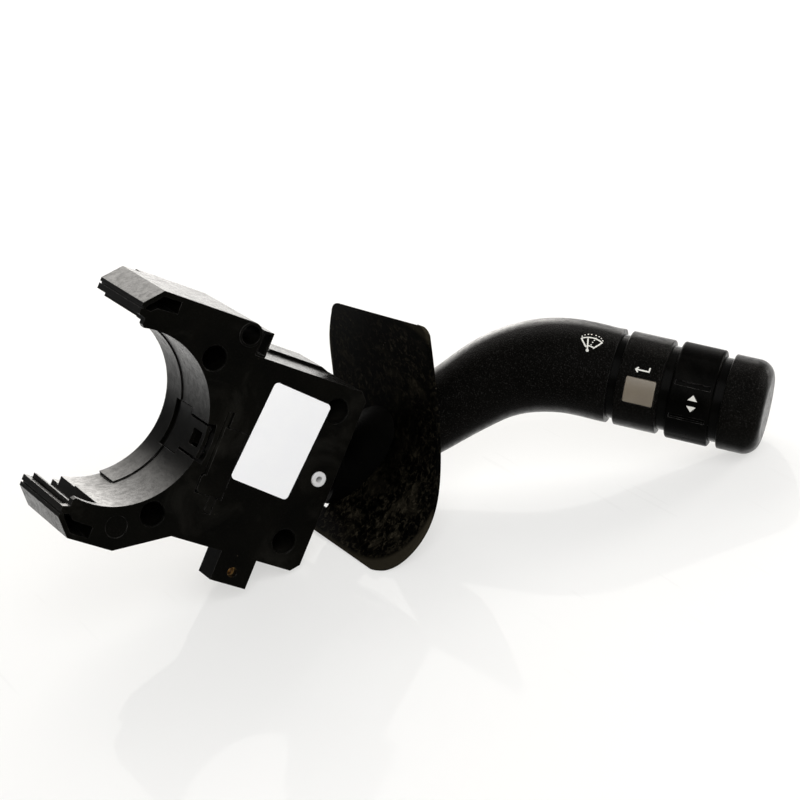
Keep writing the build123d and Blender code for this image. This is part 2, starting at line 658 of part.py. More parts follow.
with BuildPart() as nylon_rivet:
    with BuildSketch(front_plane(0)):
        with Locations(RIVET):
            Circle(RIVET_HEAD_R)
    extrude(amount=0.8)
    chamfer(nylon_rivet.edges().group_by(Axis.Y)[0], 0.25)
    with BuildSketch(front_plane(PLATE_THICKNESS + 1.5)):
        with Locations(RIVET):
            Circle(RIVET_SHANK_R)
    extrude(amount=PLATE_THICKNESS + 1.5)
    with BuildSketch(front_plane(PLATE_THICKNESS + 1.5)):
        with Locations(RIVET):
            Circle(RIVET_BORE_R)
    extrude(amount=PLATE_THICKNESS + 3, mode=Mode.SUBTRACT)
nylon_rivet.part.label = "nylon_rivet"
export_step(nylon_rivet.part, "parts/nylon_rivet.step")

with BuildPart() as tab_insert:
    with BuildSketch(front_plane(TAB_DEPTH)):
        with Locations(TAB_HOLE):
            Circle(INSERT_R)
            Circle(INSERT_BORE_R, mode=Mode.SUBTRACT)
    extrude(amount=TAB_DEPTH - INSERT_START)
tab_insert.part.label = "tab_insert"
export_step(tab_insert.part, "parts/tab_insert.step")

with BuildPart() as side_clip:
    with BuildSketch(front_plane(SIDE_CLIP_DEPTHS[1])):
        with Locations(SIDE_CLIP):
            Rectangle(*SIDE_CLIP_SIZE)
            Rectangle(*SIDE_CLIP_WINDOW, mode=Mode.SUBTRACT)
    extrude(amount=SIDE_CLIP_DEPTHS[1] - SIDE_CLIP_DEPTHS[0])
side_clip.part.label = "side_clip"
export_step(side_clip.part, "parts/side_clip.step")

# Pivot pin of the cradle, along the column
with BuildPart() as cradle_pin:
    with BuildSketch(front_plane(PIN_REAR_Y)):
        with Locations((PIVOT_X, 0)):
            Circle(CRADLE_PIN_R)
    extrude(amount=PIN_REAR_Y - PIN_FRONT_Y)
cradle_pin.part.label = "cradle_pin"
export_step(cradle_pin.part, "parts/cradle_pin.step")

# Cradle: barrel on the pin, fork for the pull pin, detent arm and contact arm
detent_direction = Vector(cos(radians(DETENT_ANGLE)), 0, sin(radians(DETENT_ANGLE)))


def detent_plane(distance: float) -> Plane:
    """Sketch plane square to the detent plunger, at a distance from the pivot."""
    origin = Vector(PIVOT_X, DETENT_Y, 0) + detent_direction * distance
    return Plane(origin=origin, x_dir=(0, 1, 0), z_dir=detent_direction)


with BuildPart() as lever_cradle:
    with BuildSketch(front_plane(CRADLE_REAR_Y)):
        with Locations((PIVOT_X, 0)):
            Circle(CRADLE_BARREL_R)
    extrude(amount=CRADLE_REAR_Y - CRADLE_FRONT_Y)
    with BuildSketch(Plane.XY.offset(-FORK_HALF)):
        with Locations(((PIVOT_X + PULL_X) / 2, LEVER_Y)):
            Rectangle(PULL_X - PIVOT_X, 2 * FORK_R)
        with Locations((PULL_X, LEVER_Y)):
            Circle(FORK_R)
    extrude(amount=2 * FORK_HALF)
    with BuildSketch(Plane.XY.offset(-FORK_SLOT_HALF)):
        with Locations((PULL_X + FORK_SLOT_OFFSET, LEVER_Y)):
            Rectangle(*FORK_SLOT_SIZE)
    extrude(amount=2 * FORK_SLOT_HALF, mode=Mode.SUBTRACT)
    with BuildSketch(detent_plane(DETENT_ARM[0])):
        Rectangle(*DETENT_ARM_SECTION)
    extrude(amount=DETENT_ARM[1] - DETENT_ARM[0])
    with BuildSketch(front_plane(CONTACT_ARM_DEPTHS[1])):
        with Locations((PIVOT_X, CONTACT_ARM_CENTRE_Z)):
            Rectangle(*CONTACT_ARM_SECTION)
    extrude(amount=CONTACT_ARM_DEPTHS[1] - CONTACT_ARM_DEPTHS[0])
    with BuildSketch(front_plane(CRADLE_REAR_Y)):
        with Locations((PIVOT_X, 0)):
            Circle(CRADLE_PIN_R + PIN_CLEARANCE)
    extrude(amount=CRADLE_REAR_Y - CRADLE_FRONT_Y, mode=Mode.SUBTRACT)
    with BuildSketch(Plane.XY.offset(-FORK_HALF)):
        with Locations((PULL_X, LEVER_Y)):
            Circle(PULL_PIN_R)
    extrude(amount=2 * FORK_HALF, mode=Mode.SUBTRACT)
    with BuildSketch(detent_plane(DETENT_BORE_START)):
        Circle(PLUNGER_R + PIN_CLEARANCE)
    extrude(amount=DETENT_ARM[1] - DETENT_BORE_START, mode=Mode.SUBTRACT)
lever_cradle.part.label = "lever_cradle"
export_step(lever_cradle.part, "parts/lever_cradle.step")

with BuildPart() as detent_plunger:
    with BuildSketch(detent_plane(PLUNGER[0])):
        Circle(PLUNGER_R)
    extrude(amount=PLUNGER[1] - PLUNGER[0])
    with Locations(Vector(PIVOT_X, DETENT_Y, 0) + detent_direction * PLUNGER[1]):
        Sphere(PLUNGER_R)
detent_plunger.part.label = "detent_plunger"
export_step(detent_plunger.part, "parts/detent_plunger.step")

with BuildPart() as detent_spring:
    with BuildSketch(detent_plane(DETENT_BORE_START)):
        Circle(SPRING_R)
        Circle(SPRING_BORE_R, mode=Mode.SUBTRACT)
    extrude(amount=PLUNGER[0] - DETENT_BORE_START - SPRING_GAP)
detent_spring.part.label = "detent_spring"
export_step(detent_spring.part, "parts/detent_spring.step")

# Detent track under the top wall, with one notch for each lever position
with BuildPart() as detent_track:
    with BuildSketch(front_plane(TRACK_DEPTHS[1])):
        with Locations((TRACK_CENTRE_X, (BODY_HALF_HEIGHT - WALL + TRACK_BOTTOM_Z) / 2)):
            Rectangle(TRACK_WIDTH, BODY_HALF_HEIGHT - WALL - TRACK_BOTTOM_Z)
        with Locations((PIVOT_X, 0)):
            Circle(TRACK_R, mode=Mode.SUBTRACT)
            with PolarLocations(TRACK_R, TRACK_STEPS, DETENT_ANGLE, TRACK_STEPS * TRACK_STEP_ANGLE):
                Circle(TRACK_NOTCH_R, mode=Mode.SUBTRACT)
    extrude(amount=TRACK_DEPTHS[1] - TRACK_DEPTHS[0])
detent_track.part.label = "detent_track"
export_step(detent_track.part, "parts/detent_track.step")

# Contact slider on the cradle, and the circuit board that it wipes
with BuildPart() as contact_slider:
    with BuildSketch(front_plane(BOARD_Y - SLIDER_GAP)):
        with Locations((PIVOT_X, SLIDER_CENTRE_Z)):
            Rectangle(*SLIDER_SIZE)
    extrude(amount=BOARD_Y - SLIDER_GAP - CONTACT_ARM_DEPTHS[1])
contact_slider.part.label = "contact_slider"
export_step(contact_slider.part, "parts/contact_slider.step")

with BuildPart() as circuit_board:
    with BuildSketch(front_plane(BOARD_Y + BOARD_THICKNESS)):
        with Locations(((BOARD[0] + BOARD[1]) / 2, (BOARD[2] + BOARD[3]) / 2)):
            Rectangle(BOARD[1] - BOARD[0], BOARD[3] - BOARD[2])
    extrude(amount=BOARD_THICKNESS)
circuit_board.part.label = "circuit_board"
export_step(circuit_board.part, "parts/circuit_board.step")

# Connector on the back cover
with BuildPart() as connector_housing:
    with BuildSketch(front_plane(BACK_Y)):
        with Locations(CONNECTOR):
            Rectangle(*CONNECTOR_BASE)
    extrude(amount=BACK_Y - HOUSING_DEPTH)
    with BuildSketch(front_plane(CONNECTOR_END_Y)):
        with Locations(CONNECTOR):
            RectangleRounded(*CONNECTOR_SHELL, 1.0)
    extrude(amount=CONNECTOR_END_Y - BACK_Y)
    with BuildSketch(front_plane(CONNECTOR_END_Y)):
        with Locations(CONNECTOR):
            Rectangle(CONNECTOR_SHELL[0] - 2 * CONNECTOR_WALL, CONNECTOR_SHELL[1] - 2 * CONNECTOR_WALL)
    extrude(amount=CONNECTOR_END_Y - CONNECTOR_FLOOR_Y, mode=Mode.SUBTRACT)
connector_housing.part.label = "connector_housing"
export_step(connector_housing.part, "parts/connector_housing.step")

with BuildPart() as connector_pins:
    with BuildSketch(front_plane(PIN_END_Y)):
        with Locations(CONNECTOR):
            with GridLocations(PIN_PITCH, PIN_ROW_PITCH, PIN_COLUMNS, 2):
                Rectangle(PIN_WIDTH, PIN_WIDTH)
    extrude(amount=PIN_END_Y - BOARD_Y)
connector_pins.part.label = "connector_pins"
export_step(connector_pins.part, "parts/connector_pins.step")

# Centre line of the lever, from inside the housing to the end cap
lever_path = FilletPolyline(
    Vector(NECK_START_X, LEVER_Y, 0),
    ROOT_CORNER,
    BEND_CORNER,
    BEND_CORNER + END_DIRECTION * CAP_END,
    radius=[ROOT_RADIUS, BEND_RADIUS],
)
grip_length = lever_path.length - (CAP_END - GRIP_END)


def stalk_radius(distance: float) -> float:
    """Radius of the neck and grip at a distance along the centre line."""
    neck_share = min(distance / FLARE_START, 1)
    grip_share = min(max((distance - FLARE_START) / (FLARE_END - FLARE_START), 0), 1)
    neck_part = (NECK_R - ROOT_R) * neck_share
    grip_part = (GRIP_R - NECK_R) * grip_share**2 * (3 - 2 * grip_share)
    return ROOT_R + neck_part + grip_part


def stalk_plane(distance: float) -> Plane:
    """Plane square to the centre line at a distance along it."""
    fraction = distance / lever_path.length
    direction = lever_path % fraction
    return Plane(origin=lever_path @ fraction, x_dir=Vector(0, 1, 0).cross(direction), z_dir=direction)


def stalk_loft(start: float, end: float, sections: int, change: float) -> Part:
    """Solid along the centre line whose radius is the stalk's plus a change."""
    with BuildPart() as stalk_length:
        for index in range(sections + 1):
            distance = start + (end - start) * index / sections
            with BuildSketch(stalk_plane(distance)):
                Circle(stalk_radius(distance) + change)
        loft()
    return stalk_length.part


def end_plane(distance: float) -> Plane:
    """Plane square to the end direction, with its first axis along FACE_DIRECTION."""
    return Plane(
        origin=BEND_CORNER + END_DIRECTION * distance, x_dir=FACE_DIRECTION, z_dir=END_DIRECTION
    )


neck_solid = stalk_loft(NECK_START, GRIP_START, 8, -0.4)
grip_outside = stalk_loft(GRIP_START, grip_length, 12, 0)
shield_hole = stalk_loft(NECK_START, SHIELD_HOLE_END, 12, SHIELD_HOLE_GAP)
shield_plane = Plane(origin=SHIELD_CENTRE - SHIELD_AXIS * SHIELD_HALF_LENGTH, z_dir=SHIELD_AXIS)

# Lever neck: barrel on the pull pin, shank and tapered neck
with BuildPart() as lever_neck:
    with BuildSketch(Plane.XY.offset(-PULL_BARREL_HALF)):
        with Locations((PULL_X, LEVER_Y)):
            Circle(PULL_BARREL_R)
    extrude(amount=2 * PULL_BARREL_HALF)
    with BuildSketch(Plane.YZ.offset(PULL_X)):
        with Locations((LEVER_Y, 0)):
            Circle(PULL_BARREL_R)
    extrude(amount=NECK_START_X + NECK_START - PULL_X)
    add(neck_solid)
    with BuildSketch(Plane.XY.offset(-PULL_BARREL_HALF)):
        with Locations((PULL_X, LEVER_Y)):
            Circle(PULL_PIN_R + PIN_CLEARANCE)
    extrude(amount=2 * PULL_BARREL_HALF, mode=Mode.SUBTRACT)
lever_neck.part.label = "lever_neck"
export_step(lever_neck.part, "parts/lever_neck.step")

with BuildPart() as pull_pin:
    with BuildSketch(Plane.XY.offset(-FORK_HALF)):
        with Locations((PULL_X, LEVER_Y)):
            Circle(PULL_PIN_R)
    extrude(amount=2 * FORK_HALF)
pull_pin.part.label = "pull_pin"
export_step(pull_pin.part, "parts/pull_pin.step")

# Collar that follows the neck up to the dust shield and closes its hole
with BuildPart() as shield_collar:
    add(stalk_loft(COLLAR_START, SHIELD_HOLE_END, 12, COLLAR_WALL))
    with BuildSketch(shield_plane):
        Circle(SHIELD_R - SHIELD_THICKNESS)
    extrude(amount=2 * SHIELD_HALF_LENGTH, mode=Mode.INTERSECT)
    add(neck_solid, mode=Mode.SUBTRACT)
    add(grip_outside, mode=Mode.SUBTRACT)
shield_collar.part.label = "shield_collar"
export_step(shield_collar.part, "parts/shield_collar.step")

# Dust shield: part of a thin cylinder, cut to its outline seen along X
with BuildPart() as dust_shield:
    with BuildSketch(shield_plane):
        Circle(SHIELD_R)
        Circle(SHIELD_R - SHIELD_THICKNESS, mode=Mode.SUBTRACT)
    extrude(amount=2 * SHIELD_HALF_LENGTH)
    with BuildSketch(Plane.YZ.offset(SHIELD_NEAR_X)):
        with BuildLine():
            front_edge = Spline(*SHIELD_FRONT_EDGE)
            rear_edge = Spline(*SHIELD_REAR_EDGE)
            top_edge = ThreePointArc(*SHIELD_TOP_EDGE)
            Polyline(
                front_edge @ 1,
                (SHIELD_NOTCH[1], SHIELD_BOTTOM_Z),
                (SHIELD_NOTCH[1], SHIELD_NOTCH[2]),
                (SHIELD_NOTCH[0], SHIELD_NOTCH[2]),
                rear_edge @ 1,
            )
            ThreePointArc(front_edge @ 0, SHIELD_CORNERS[0], top_edge @ 0)
            ThreePointArc(top_edge @ 1, SHIELD_CORNERS[1], rear_edge @ 0)
        make_face()
    extrude(amount=SHIELD_REACH, mode=Mode.INTERSECT)
    add(shield_hole, mode=Mode.SUBTRACT)
dust_shield.part.label = "dust_shield"
export_step(dust_shield.part, "parts/dust_shield.step")

# Stalk grip, a hollow bent moulding
grip_inside = stalk_loft(GRIP_START + GRIP_FLOOR, grip_length, 12, -GRIP_WALL)
with BuildPart() as stalk_grip:
    add(grip_outside)
    add(grip_inside, mode=Mode.SUBTRACT)
    with BuildSketch(end_plane(GRIP_END - SLEEVE_OVERLAP)):
        Circle(SLEEVE_R)
    extrude(amount=SLEEVE_OVERLAP, mode=Mode.SUBTRACT)
    with BuildSketch(stalk_plane(GRIP_START)):
        Circle(CORE_R)
    extrude(amount=GRIP_FLOOR + 2, mode=Mode.SUBTRACT)
stalk_grip.part.label = "stalk_grip"
export_step(stalk_grip.part, "parts/stalk_grip.step")

# Core tube inside the grip, which carries the wires
with BuildPart() as stalk_core:
    with BuildLine():
        FilletPolyline(
            lever_path @ (GRIP_START / lever_path.length),
            BEND_CORNER,
            BEND_CORNER + END_DIRECTION * (GRIP_END - SLEEVE_OVERLAP - 1),
            radius=BEND_RADIUS,
        )
    with BuildSketch(stalk_plane(GRIP_START)):
        Circle(CORE_R)
        Circle(CORE_R - CORE_WALL, mode=Mode.SUBTRACT)
    sweep()
stalk_core.part.label = "stalk_core"
export_step(stalk_core.part, "parts/stalk_core.step")

# Sleeve at the end of the stalk, seen in the grooves between the rings
face_axis = end_plane(0).x_dir
button_origin = BEND_CORNER + END_DIRECTION * ((BUTTON_RING[0] + BUTTON_RING[1]) / 2 + BUTTON_OFFSET)


def button_plane(height: float) -> Plane:
    """Plane square to the button's travel, with its first axis along the stalk."""
    return Plane(origin=button_origin + face_axis * height, x_dir=END_DIRECTION, z_dir=face_axis)


def button_window() -> None:
    """Adds the outline of the opening that the button moves in to the current sketch."""
    length = BUTTON_SIZE[0] + 2 * BUTTON_GAP
    width = BUTTON_SIZE[1] + 2 * BUTTON_GAP
    RectangleRounded(length, width, BUTTON_CORNER + BUTTON_GAP)


with BuildPart() as end_sleeve:
    with BuildSketch(end_plane(GRIP_END - SLEEVE_OVERLAP)):
        Circle(SLEEVE_R)
    extrude(amount=SLEEVE_END - GRIP_END + SLEEVE_OVERLAP)
    with BuildSketch(end_plane(GRIP_END - SLEEVE_OVERLAP)):
        Circle(SLEEVE_R - SLEEVE_WALL)
    extrude(amount=SLEEVE_END - GRIP_END + SLEEVE_OVERLAP - SLEEVE_WALL, mode=Mode.SUBTRACT)
    with BuildSketch(end_plane(SLEEVE_END - SLEEVE_WALL)):
        Circle(SWITCH_HOLE_R)
    extrude(amount=SLEEVE_WALL, mode=Mode.SUBTRACT)
    with BuildSketch(button_plane(BUTTON_WINDOW_FLOOR)):
        button_window()
    extrude(amount=GRIP_R - BUTTON_WINDOW_FLOOR, mode=Mode.SUBTRACT)
end_sleeve.part.label = "end_sleeve"
export_step(end_sleeve.part, "parts/end_sleeve.step")

# Fixed ring round the button
with BuildPart() as button_ring:
    with BuildSketch(end_plane(BUTTON_RING[0])):
        Circle(GRIP_R)
    extrude(amount=BUTTON_RING[1] - BUTTON_RING[0])
    fillet(button_ring.edges().filter_by(GeomType.CIRCLE), EDGE_BREAK)
    with BuildSketch(end_plane(BUTTON_RING[0])):
        Circle(SLEEVE_R)
    extrude(amount=BUTTON_RING[1] - BUTTON_RING[0], mode=Mode.SUBTRACT)
    with BuildSketch(button_plane(BUTTON_WINDOW_FLOOR)):
        button_window()
    extrude(amount=GRIP_R, mode=Mode.SUBTRACT)
button_ring.part.label = "button_ring"
export_step(button_ring.part, "parts/button_ring.step")

# Push button, its face curved like the ring
with BuildPart() as push_button:
    with BuildSketch(button_plane(BUTTON_FLOOR)):
        RectangleRounded(*BUTTON_SIZE, BUTTON_CORNER)
    extrude(amount=GRIP_R - BUTTON_FLOOR + 1)
    with BuildSketch(end_plane(BUTTON_RING[0])):
        Circle(GRIP_R + BUTTON_PROUD)
    extrude(amount=BUTTON_RING[1] - BUTTON_RING[0], mode=Mode.INTERSECT)
push_button.part.label = "push_button"
export_step(push_button.part, "parts/push_button.step")

# Small board in the sleeve with the two switches that the button and the cap press
with BuildPart() as switch_board:
    with BuildSketch(button_plane(SWITCH_BOARD_FLOOR)):
        with Locations((SWITCH_BOARD_OFFSET, 0)):
            Rectangle(SWITCH_BOARD_SIZE[0], SWITCH_BOARD_SIZE[1])
    extrude(amount=SWITCH_BOARD_SIZE[2])
switch_board.part.label = "switch_board"
export_step(switch_board.part, "parts/switch_board.step")

with BuildPart() as button_switch:
    with BuildSketch(button_plane(BUTTON_SWITCH_FLOOR)):
        Rectangle(BUTTON_SWITCH_SIZE[0], BUTTON_SWITCH_SIZE[1])
    extrude(amount=BUTTON_SWITCH_SIZE[2])
    with BuildSketch(button_plane(BUTTON_SWITCH_FLOOR + BUTTON_SWITCH_SIZE[2])):
        Circle(BUTTON_SWITCH_TIP[0])
    extrude(amount=BUTTON_SWITCH_TIP[1])
button_switch.part.label = "button_switch"
export_step(button_switch.part, "parts/button_switch.step")

with BuildPart() as end_switch:
    with BuildSketch(end_plane(END_SWITCH_START)):
        Rectangle(END_SWITCH_SIZE[0], END_SWITCH_SIZE[1])
    extrude(amount=END_SWITCH_SIZE[2])
    with BuildSketch(end_plane(END_SWITCH_START + END_SWITCH_SIZE[2])):
        Circle(END_SWITCH_TIP[0])
    extrude(amount=END_SWITCH_TIP[1])
end_switch.part.label = "end_switch"
export_step(end_switch.part, "parts/end_switch.step")


# Selector ring, with a thumb ridge on top, a low ridge below and two recessed bars
with BuildPart() as selector_ring:
    with BuildSketch(end_plane(SELECTOR_RING[0])) as ring_section:
        Circle(SELECTOR_R)
        for angle, height, radius in (THUMB_RIDGE, LOWER_RIDGE):
            with Locations(polar(SELECTOR_R + height - radius, angle)):
                Circle(radius)
        fillet(ring_section.vertices(), RIDGE_BLEND)
    extrude(amount=SELECTOR_RING[1] - SELECTOR_RING[0])
    ring_ends = selector_ring.faces().sort_by(Axis(BEND_CORNER, END_DIRECTION))
    fillet(ring_ends[0].edges() + ring_ends[-1].edges(), SELECTOR_END_RADIUS)
    with BuildSketch(end_plane(SELECTOR_RING[0])):
        Circle(SLEEVE_R + RUNNING_GAP)
    extrude(amount=SELECTOR_RING[1] - SELECTOR_RING[0], mode=Mode.SUBTRACT)
    with BuildSketch(end_plane(SELECTOR_RING[0] + SELECTOR_BAR_MARGIN)):
        for bar in SELECTOR_BARS:
            seat_sector(SELECTOR_R - SELECTOR_BAR_DEPTH, SELECTOR_R + 1, *bar)
    extrude(amount=SELECTOR_RING[1] - SELECTOR_RING[0] - 2 * SELECTOR_BAR_MARGIN, mode=Mode.SUBTRACT)
selector_ring.part.label = "selector_ring"
export_step(selector_ring.part, "parts/selector_ring.step")

# End cap, pushed in against the end switch
with BuildPart() as end_cap:
    with BuildSketch(end_plane(CAP_START)):
        Circle(GRIP_R)
    extrude(amount=CAP_END - CAP_START)
    fillet(end_cap.edges().sort_by(Axis(BEND_CORNER, END_DIRECTION))[-1], CAP_CORNER)
    fillet(end_cap.edges().sort_by(Axis(BEND_CORNER, END_DIRECTION))[0], EDGE_BREAK)
    with BuildSketch(end_plane(CAP_START)):
        Circle(SLEEVE_R + RUNNING_GAP)
    extrude(amount=CAP_BORE_DEPTH, mode=Mode.SUBTRACT)
    with BuildSketch(end_plane(CAP_START + CAP_BORE_DEPTH)):
        Circle(CAP_HOLLOW_R)
    extrude(amount=CAP_HOLLOW_DEPTH, mode=Mode.SUBTRACT)
    with BuildSketch(end_plane(CAP_START + CAP_STEM[0])):
        Circle(CAP_STEM_R)
    extrude(amount=CAP_STEM[1] - CAP_STEM[0])
end_cap.part.label = "end_cap"
export_step(end_cap.part, "parts/end_cap.step")
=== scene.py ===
"""Looks of a combination stalk switch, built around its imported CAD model.

Lengths are in metres and the frame is the CAD frame: the origin is on the axis
of the steering column seat, +X points to the stalk, +Y to the rear and +Z up.
"""

import logging
import math
from dataclasses import dataclass
from enum import Enum
from typing import Any

import bmesh
import bpy
from mathutils import Matrix, Vector


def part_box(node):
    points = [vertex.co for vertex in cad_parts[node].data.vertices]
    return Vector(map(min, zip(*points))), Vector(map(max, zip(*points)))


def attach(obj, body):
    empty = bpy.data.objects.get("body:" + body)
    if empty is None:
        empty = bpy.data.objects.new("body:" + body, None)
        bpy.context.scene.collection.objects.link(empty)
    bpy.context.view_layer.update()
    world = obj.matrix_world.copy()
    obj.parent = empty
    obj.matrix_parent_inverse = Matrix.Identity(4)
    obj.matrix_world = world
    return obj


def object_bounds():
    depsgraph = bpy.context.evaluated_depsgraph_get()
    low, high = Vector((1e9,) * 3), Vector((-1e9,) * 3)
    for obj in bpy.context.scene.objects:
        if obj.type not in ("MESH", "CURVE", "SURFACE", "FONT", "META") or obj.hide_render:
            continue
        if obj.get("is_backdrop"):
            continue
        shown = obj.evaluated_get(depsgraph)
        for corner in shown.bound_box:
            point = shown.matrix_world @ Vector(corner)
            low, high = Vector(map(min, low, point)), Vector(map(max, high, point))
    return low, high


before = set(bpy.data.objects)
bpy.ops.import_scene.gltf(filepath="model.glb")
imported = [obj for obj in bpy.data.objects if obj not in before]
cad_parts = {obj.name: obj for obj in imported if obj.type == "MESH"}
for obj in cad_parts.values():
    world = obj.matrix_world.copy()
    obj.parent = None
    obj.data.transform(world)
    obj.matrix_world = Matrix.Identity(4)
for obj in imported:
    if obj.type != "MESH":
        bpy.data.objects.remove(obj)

logging.basicConfig(level=logging.INFO, format="%(message)s")
log = logging.getLogger("stalk_switch")

MM = 0.001

# The straight end of the stalk, as in the CAD model
BEND_CORNER = Vector((147.5, -11.2, 72.7)) * MM
END_DIRECTION = Vector((0.697, -0.696, 0.170)).normalized()
GRIP_R = 18.4 * MM
SELECTOR_R = 18.2 * MM

# Where each sign's middle comes along the end direction, and round the stalk in degrees
WIPER_SIGN_PLACE = (25.3 * MM, -46.5)
RETURN_MARK_PLACE = (47.2 * MM, -28.0)
STEP_ARROWS_PLACE = (68.1 * MM, 0.0)

# The camera, and the way up from the table that the part lies on
CAMERA_PLACE = Vector((-438.16, -845.90, 126.63)) * MM
CAMERA_RIGHT = Vector((0.79599, -0.47455, 0.37577)).normalized()
CAMERA_FORWARD = Vector((0.54007, 0.83713, -0.08683))
TABLE_NORMAL = Vector((-0.6641, -0.0139, 0.7475)).normalized()

Socket = bpy.types.NodeSocket
Node = bpy.types.Node
Colour = tuple[float, float, float, float]

FLOAT = "NodeSocketFloat"
VECTOR = "NodeSocketVector"

# What lies on the plastic or shows where it is rubbed, and the painted glint on the grain's peaks
DUST: Colour = (0.085, 0.080, 0.068, 1.0)
SPECK: Colour = (0.35, 0.30, 0.22, 1.0)
RUBBED: Colour = (0.11, 0.105, 0.10, 1.0)
# Painted highlight: a pale colour on the grain's peaks that stands in for glints of light on them
PAINTED_GRAIN_GLINT: Colour = (0.060, 0.057, 0.054, 1.0)
GRIME: Colour = (0.22, 0.20, 0.17, 1.0)
SHIELD_BLACK: Colour = (0.0003, 0.0003, 0.0002, 1.0)
SHIELD_DUST: Colour = (0.060, 0.051, 0.034, 1.0)
SHIELD_SPECK: Colour = (0.22, 0.19, 0.14, 1.0)
WARM_WHITE = (1.0, 0.965, 0.915)
PLAIN_WHITE = (1.0, 1.0, 1.0)


def grey(level: float) -> Colour:
    """Returns a neutral colour."""
    return (level, level, level, 1.0)


# ---------------------------------------------------------------- shader nodes


class NodeSheet:
    """A node tree with short calls that add and join its nodes."""

    def __init__(self, tree: bpy.types.NodeTree) -> None:
        """Starts from an existing tree.

        Args:
            tree: The tree that the nodes are added to.
        """
        self.tree = tree

    def join(self, target: Socket, value: Any) -> None:
        """Feeds a socket with another node's socket or sets its own value.

        Args:
            target: The input socket.
            value: An output socket, a number or a tuple.
        """
        if isinstance(value, Socket):
            self.tree.links.new(value, target)
        else:
            target.default_value = value

    def add(self, kind: str, inputs: dict[Any, Any] | None = None, **settings: Any) -> Node:
        """Adds one node.

        Args:
            kind: The node's type name.
            inputs: What feeds each input, by the input's name or number.
            **settings: The node's own properties.

        Returns:
            The new node.
        """
        node = self.tree.nodes.new(kind)
        for name, value in settings.items():
            setattr(node, name, value)
        for key, value in (inputs or {}).items():
            self.join(node.inputs[key], value)
        return node

    def math(self, operation: str, *values: Any) -> Socket:
        """Returns the result of one arithmetic step on numbers or sockets."""
        return self.add("ShaderNodeMath", dict(enumerate(values)), operation=operation).outputs[0]

    def times(self, *values: Any) -> Socket:
        """Returns the product of two or more numbers or sockets."""
        product = values[0]
        for value in values[1:]:
            product = self.math("MULTIPLY", product, value)
        return product

    def vectors(self, operation: str, *values: Any) -> Node:
        """Returns the node of one step on vectors, which may give a vector or a value."""
        return self.add("ShaderNodeVectorMath", dict(enumerate(values)), operation=operation)

    def dot(self, first: Any, second: Any) -> Socket:
        """Returns the dot product of two vectors."""
        return self.vectors("DOT_PRODUCT", first, second).outputs["Value"]

    def mix_colour(self, share: Any, first: Any, second: Any) -> Socket:
        """Returns a colour between two, by a share from 0 to 1."""
        node = self.add("ShaderNodeMix", {0: share, 6: first, 7: second}, data_type="RGBA")
        return node.outputs[2]

    def noise(self, vector: Any, scale: Any, detail: float = 3.0, roughness: float = 0.55) -> Socket:
        """Returns the value of a noise texture."""
        inputs = {"Vector": vector, "Scale": scale, "Detail": detail, "Roughness": roughness}
        return self.add("ShaderNodeTexNoise", inputs).outputs[0]

    def ramp(
        self, value: Any, low: float, high: float, bottom: float = 0.0, top: float = 1.0
    ) -> Socket:
        """Returns a value stretched from one span to another, held at both ends."""
        inputs = {0: value, 1: low, 2: high, 3: bottom, 4: top}
        return self.add("ShaderNodeMapRange", inputs, clamp=True).outputs[0]

    def stretched(self, vector: Any, scale: tuple[float, float, float], turn: float = 0.0) -> Socket:
        """Returns coordinates scaled by axis, after a turn about Z in radians."""
        inputs = {"Vector": vector, "Scale": scale, "Rotation": (0.0, 0.0, turn)}
        return self.add("ShaderNodeMapping", inputs).outputs[0]

    def rounded(self, radius: float) -> Socket:
        """Returns the normal of the surface as if its edges had a small radius."""
        return self.add("ShaderNodeBevel", {"Radius": radius}, samples=6).outputs[0]

    def relief(
        self, shader: Node, height: Socket, strength: float, depth: float, normal: Any = None
    ) -> None:
        """Gives a shader a fine relief.

        Args:
            shader: The Principled shader.
            height: The relief's height, from 0 to 1.
            strength: How strongly it shows.
            depth: How deep it is.
            normal: The normal that it starts from, if not the surface's own.
        """
        inputs = {"Strength": strength, "Distance": depth, "Height": height}
        if normal is not None:
            inputs["Normal"] = normal
        self.join(shader.inputs["Normal"], self.add("ShaderNodeBump", inputs).outputs[0])


class SharedEffect:
    """A shader node group with named inputs and outputs, built once."""

    def __init__(
        self, name: str, inputs: dict[str, tuple[str, Any]], outputs: dict[str, str]
    ) -> None:
        """Makes the empty group and its sockets.

        Args:
            name: The group's name.
            inputs: Each input's socket type and default value.
            outputs: Each output's socket type.
        """
        self.group = bpy.data.node_groups.new(name, "ShaderNodeTree")
        for socket_name, (kind, default) in inputs.items():
            socket = self.group.interface.new_socket(socket_name, in_out="INPUT", socket_type=kind)
            if default is not None:
                socket.default_value = default
        for socket_name, kind in outputs.items():
            self.group.interface.new_socket(socket_name, in_out="OUTPUT", socket_type=kind)
        self.sheet = NodeSheet(self.group)
        self.source = self.group.nodes.new("NodeGroupInput").outputs
        self.result = self.group.nodes.new("NodeGroupOutput").inputs

    def give(self, name: str, value: Socket) -> None:
        """Connects a result to one of the group's outputs."""
        self.sheet.join(self.result[name], value)

    def use(self, sheet: NodeSheet, inputs: dict[str, Any]) -> dict[str, Socket]:
        """Places the group in a material.

        Args:
            sheet: The material's sheet.
            inputs: The group's values in this material.

        Returns:
            The group's outputs by name.
        """
        node = sheet.add("ShaderNodeGroup", node_tree=self.group)
        for key, value in inputs.items():
            sheet.join(node.inputs[key], value)
        return {output.name: output for output in node.outputs}


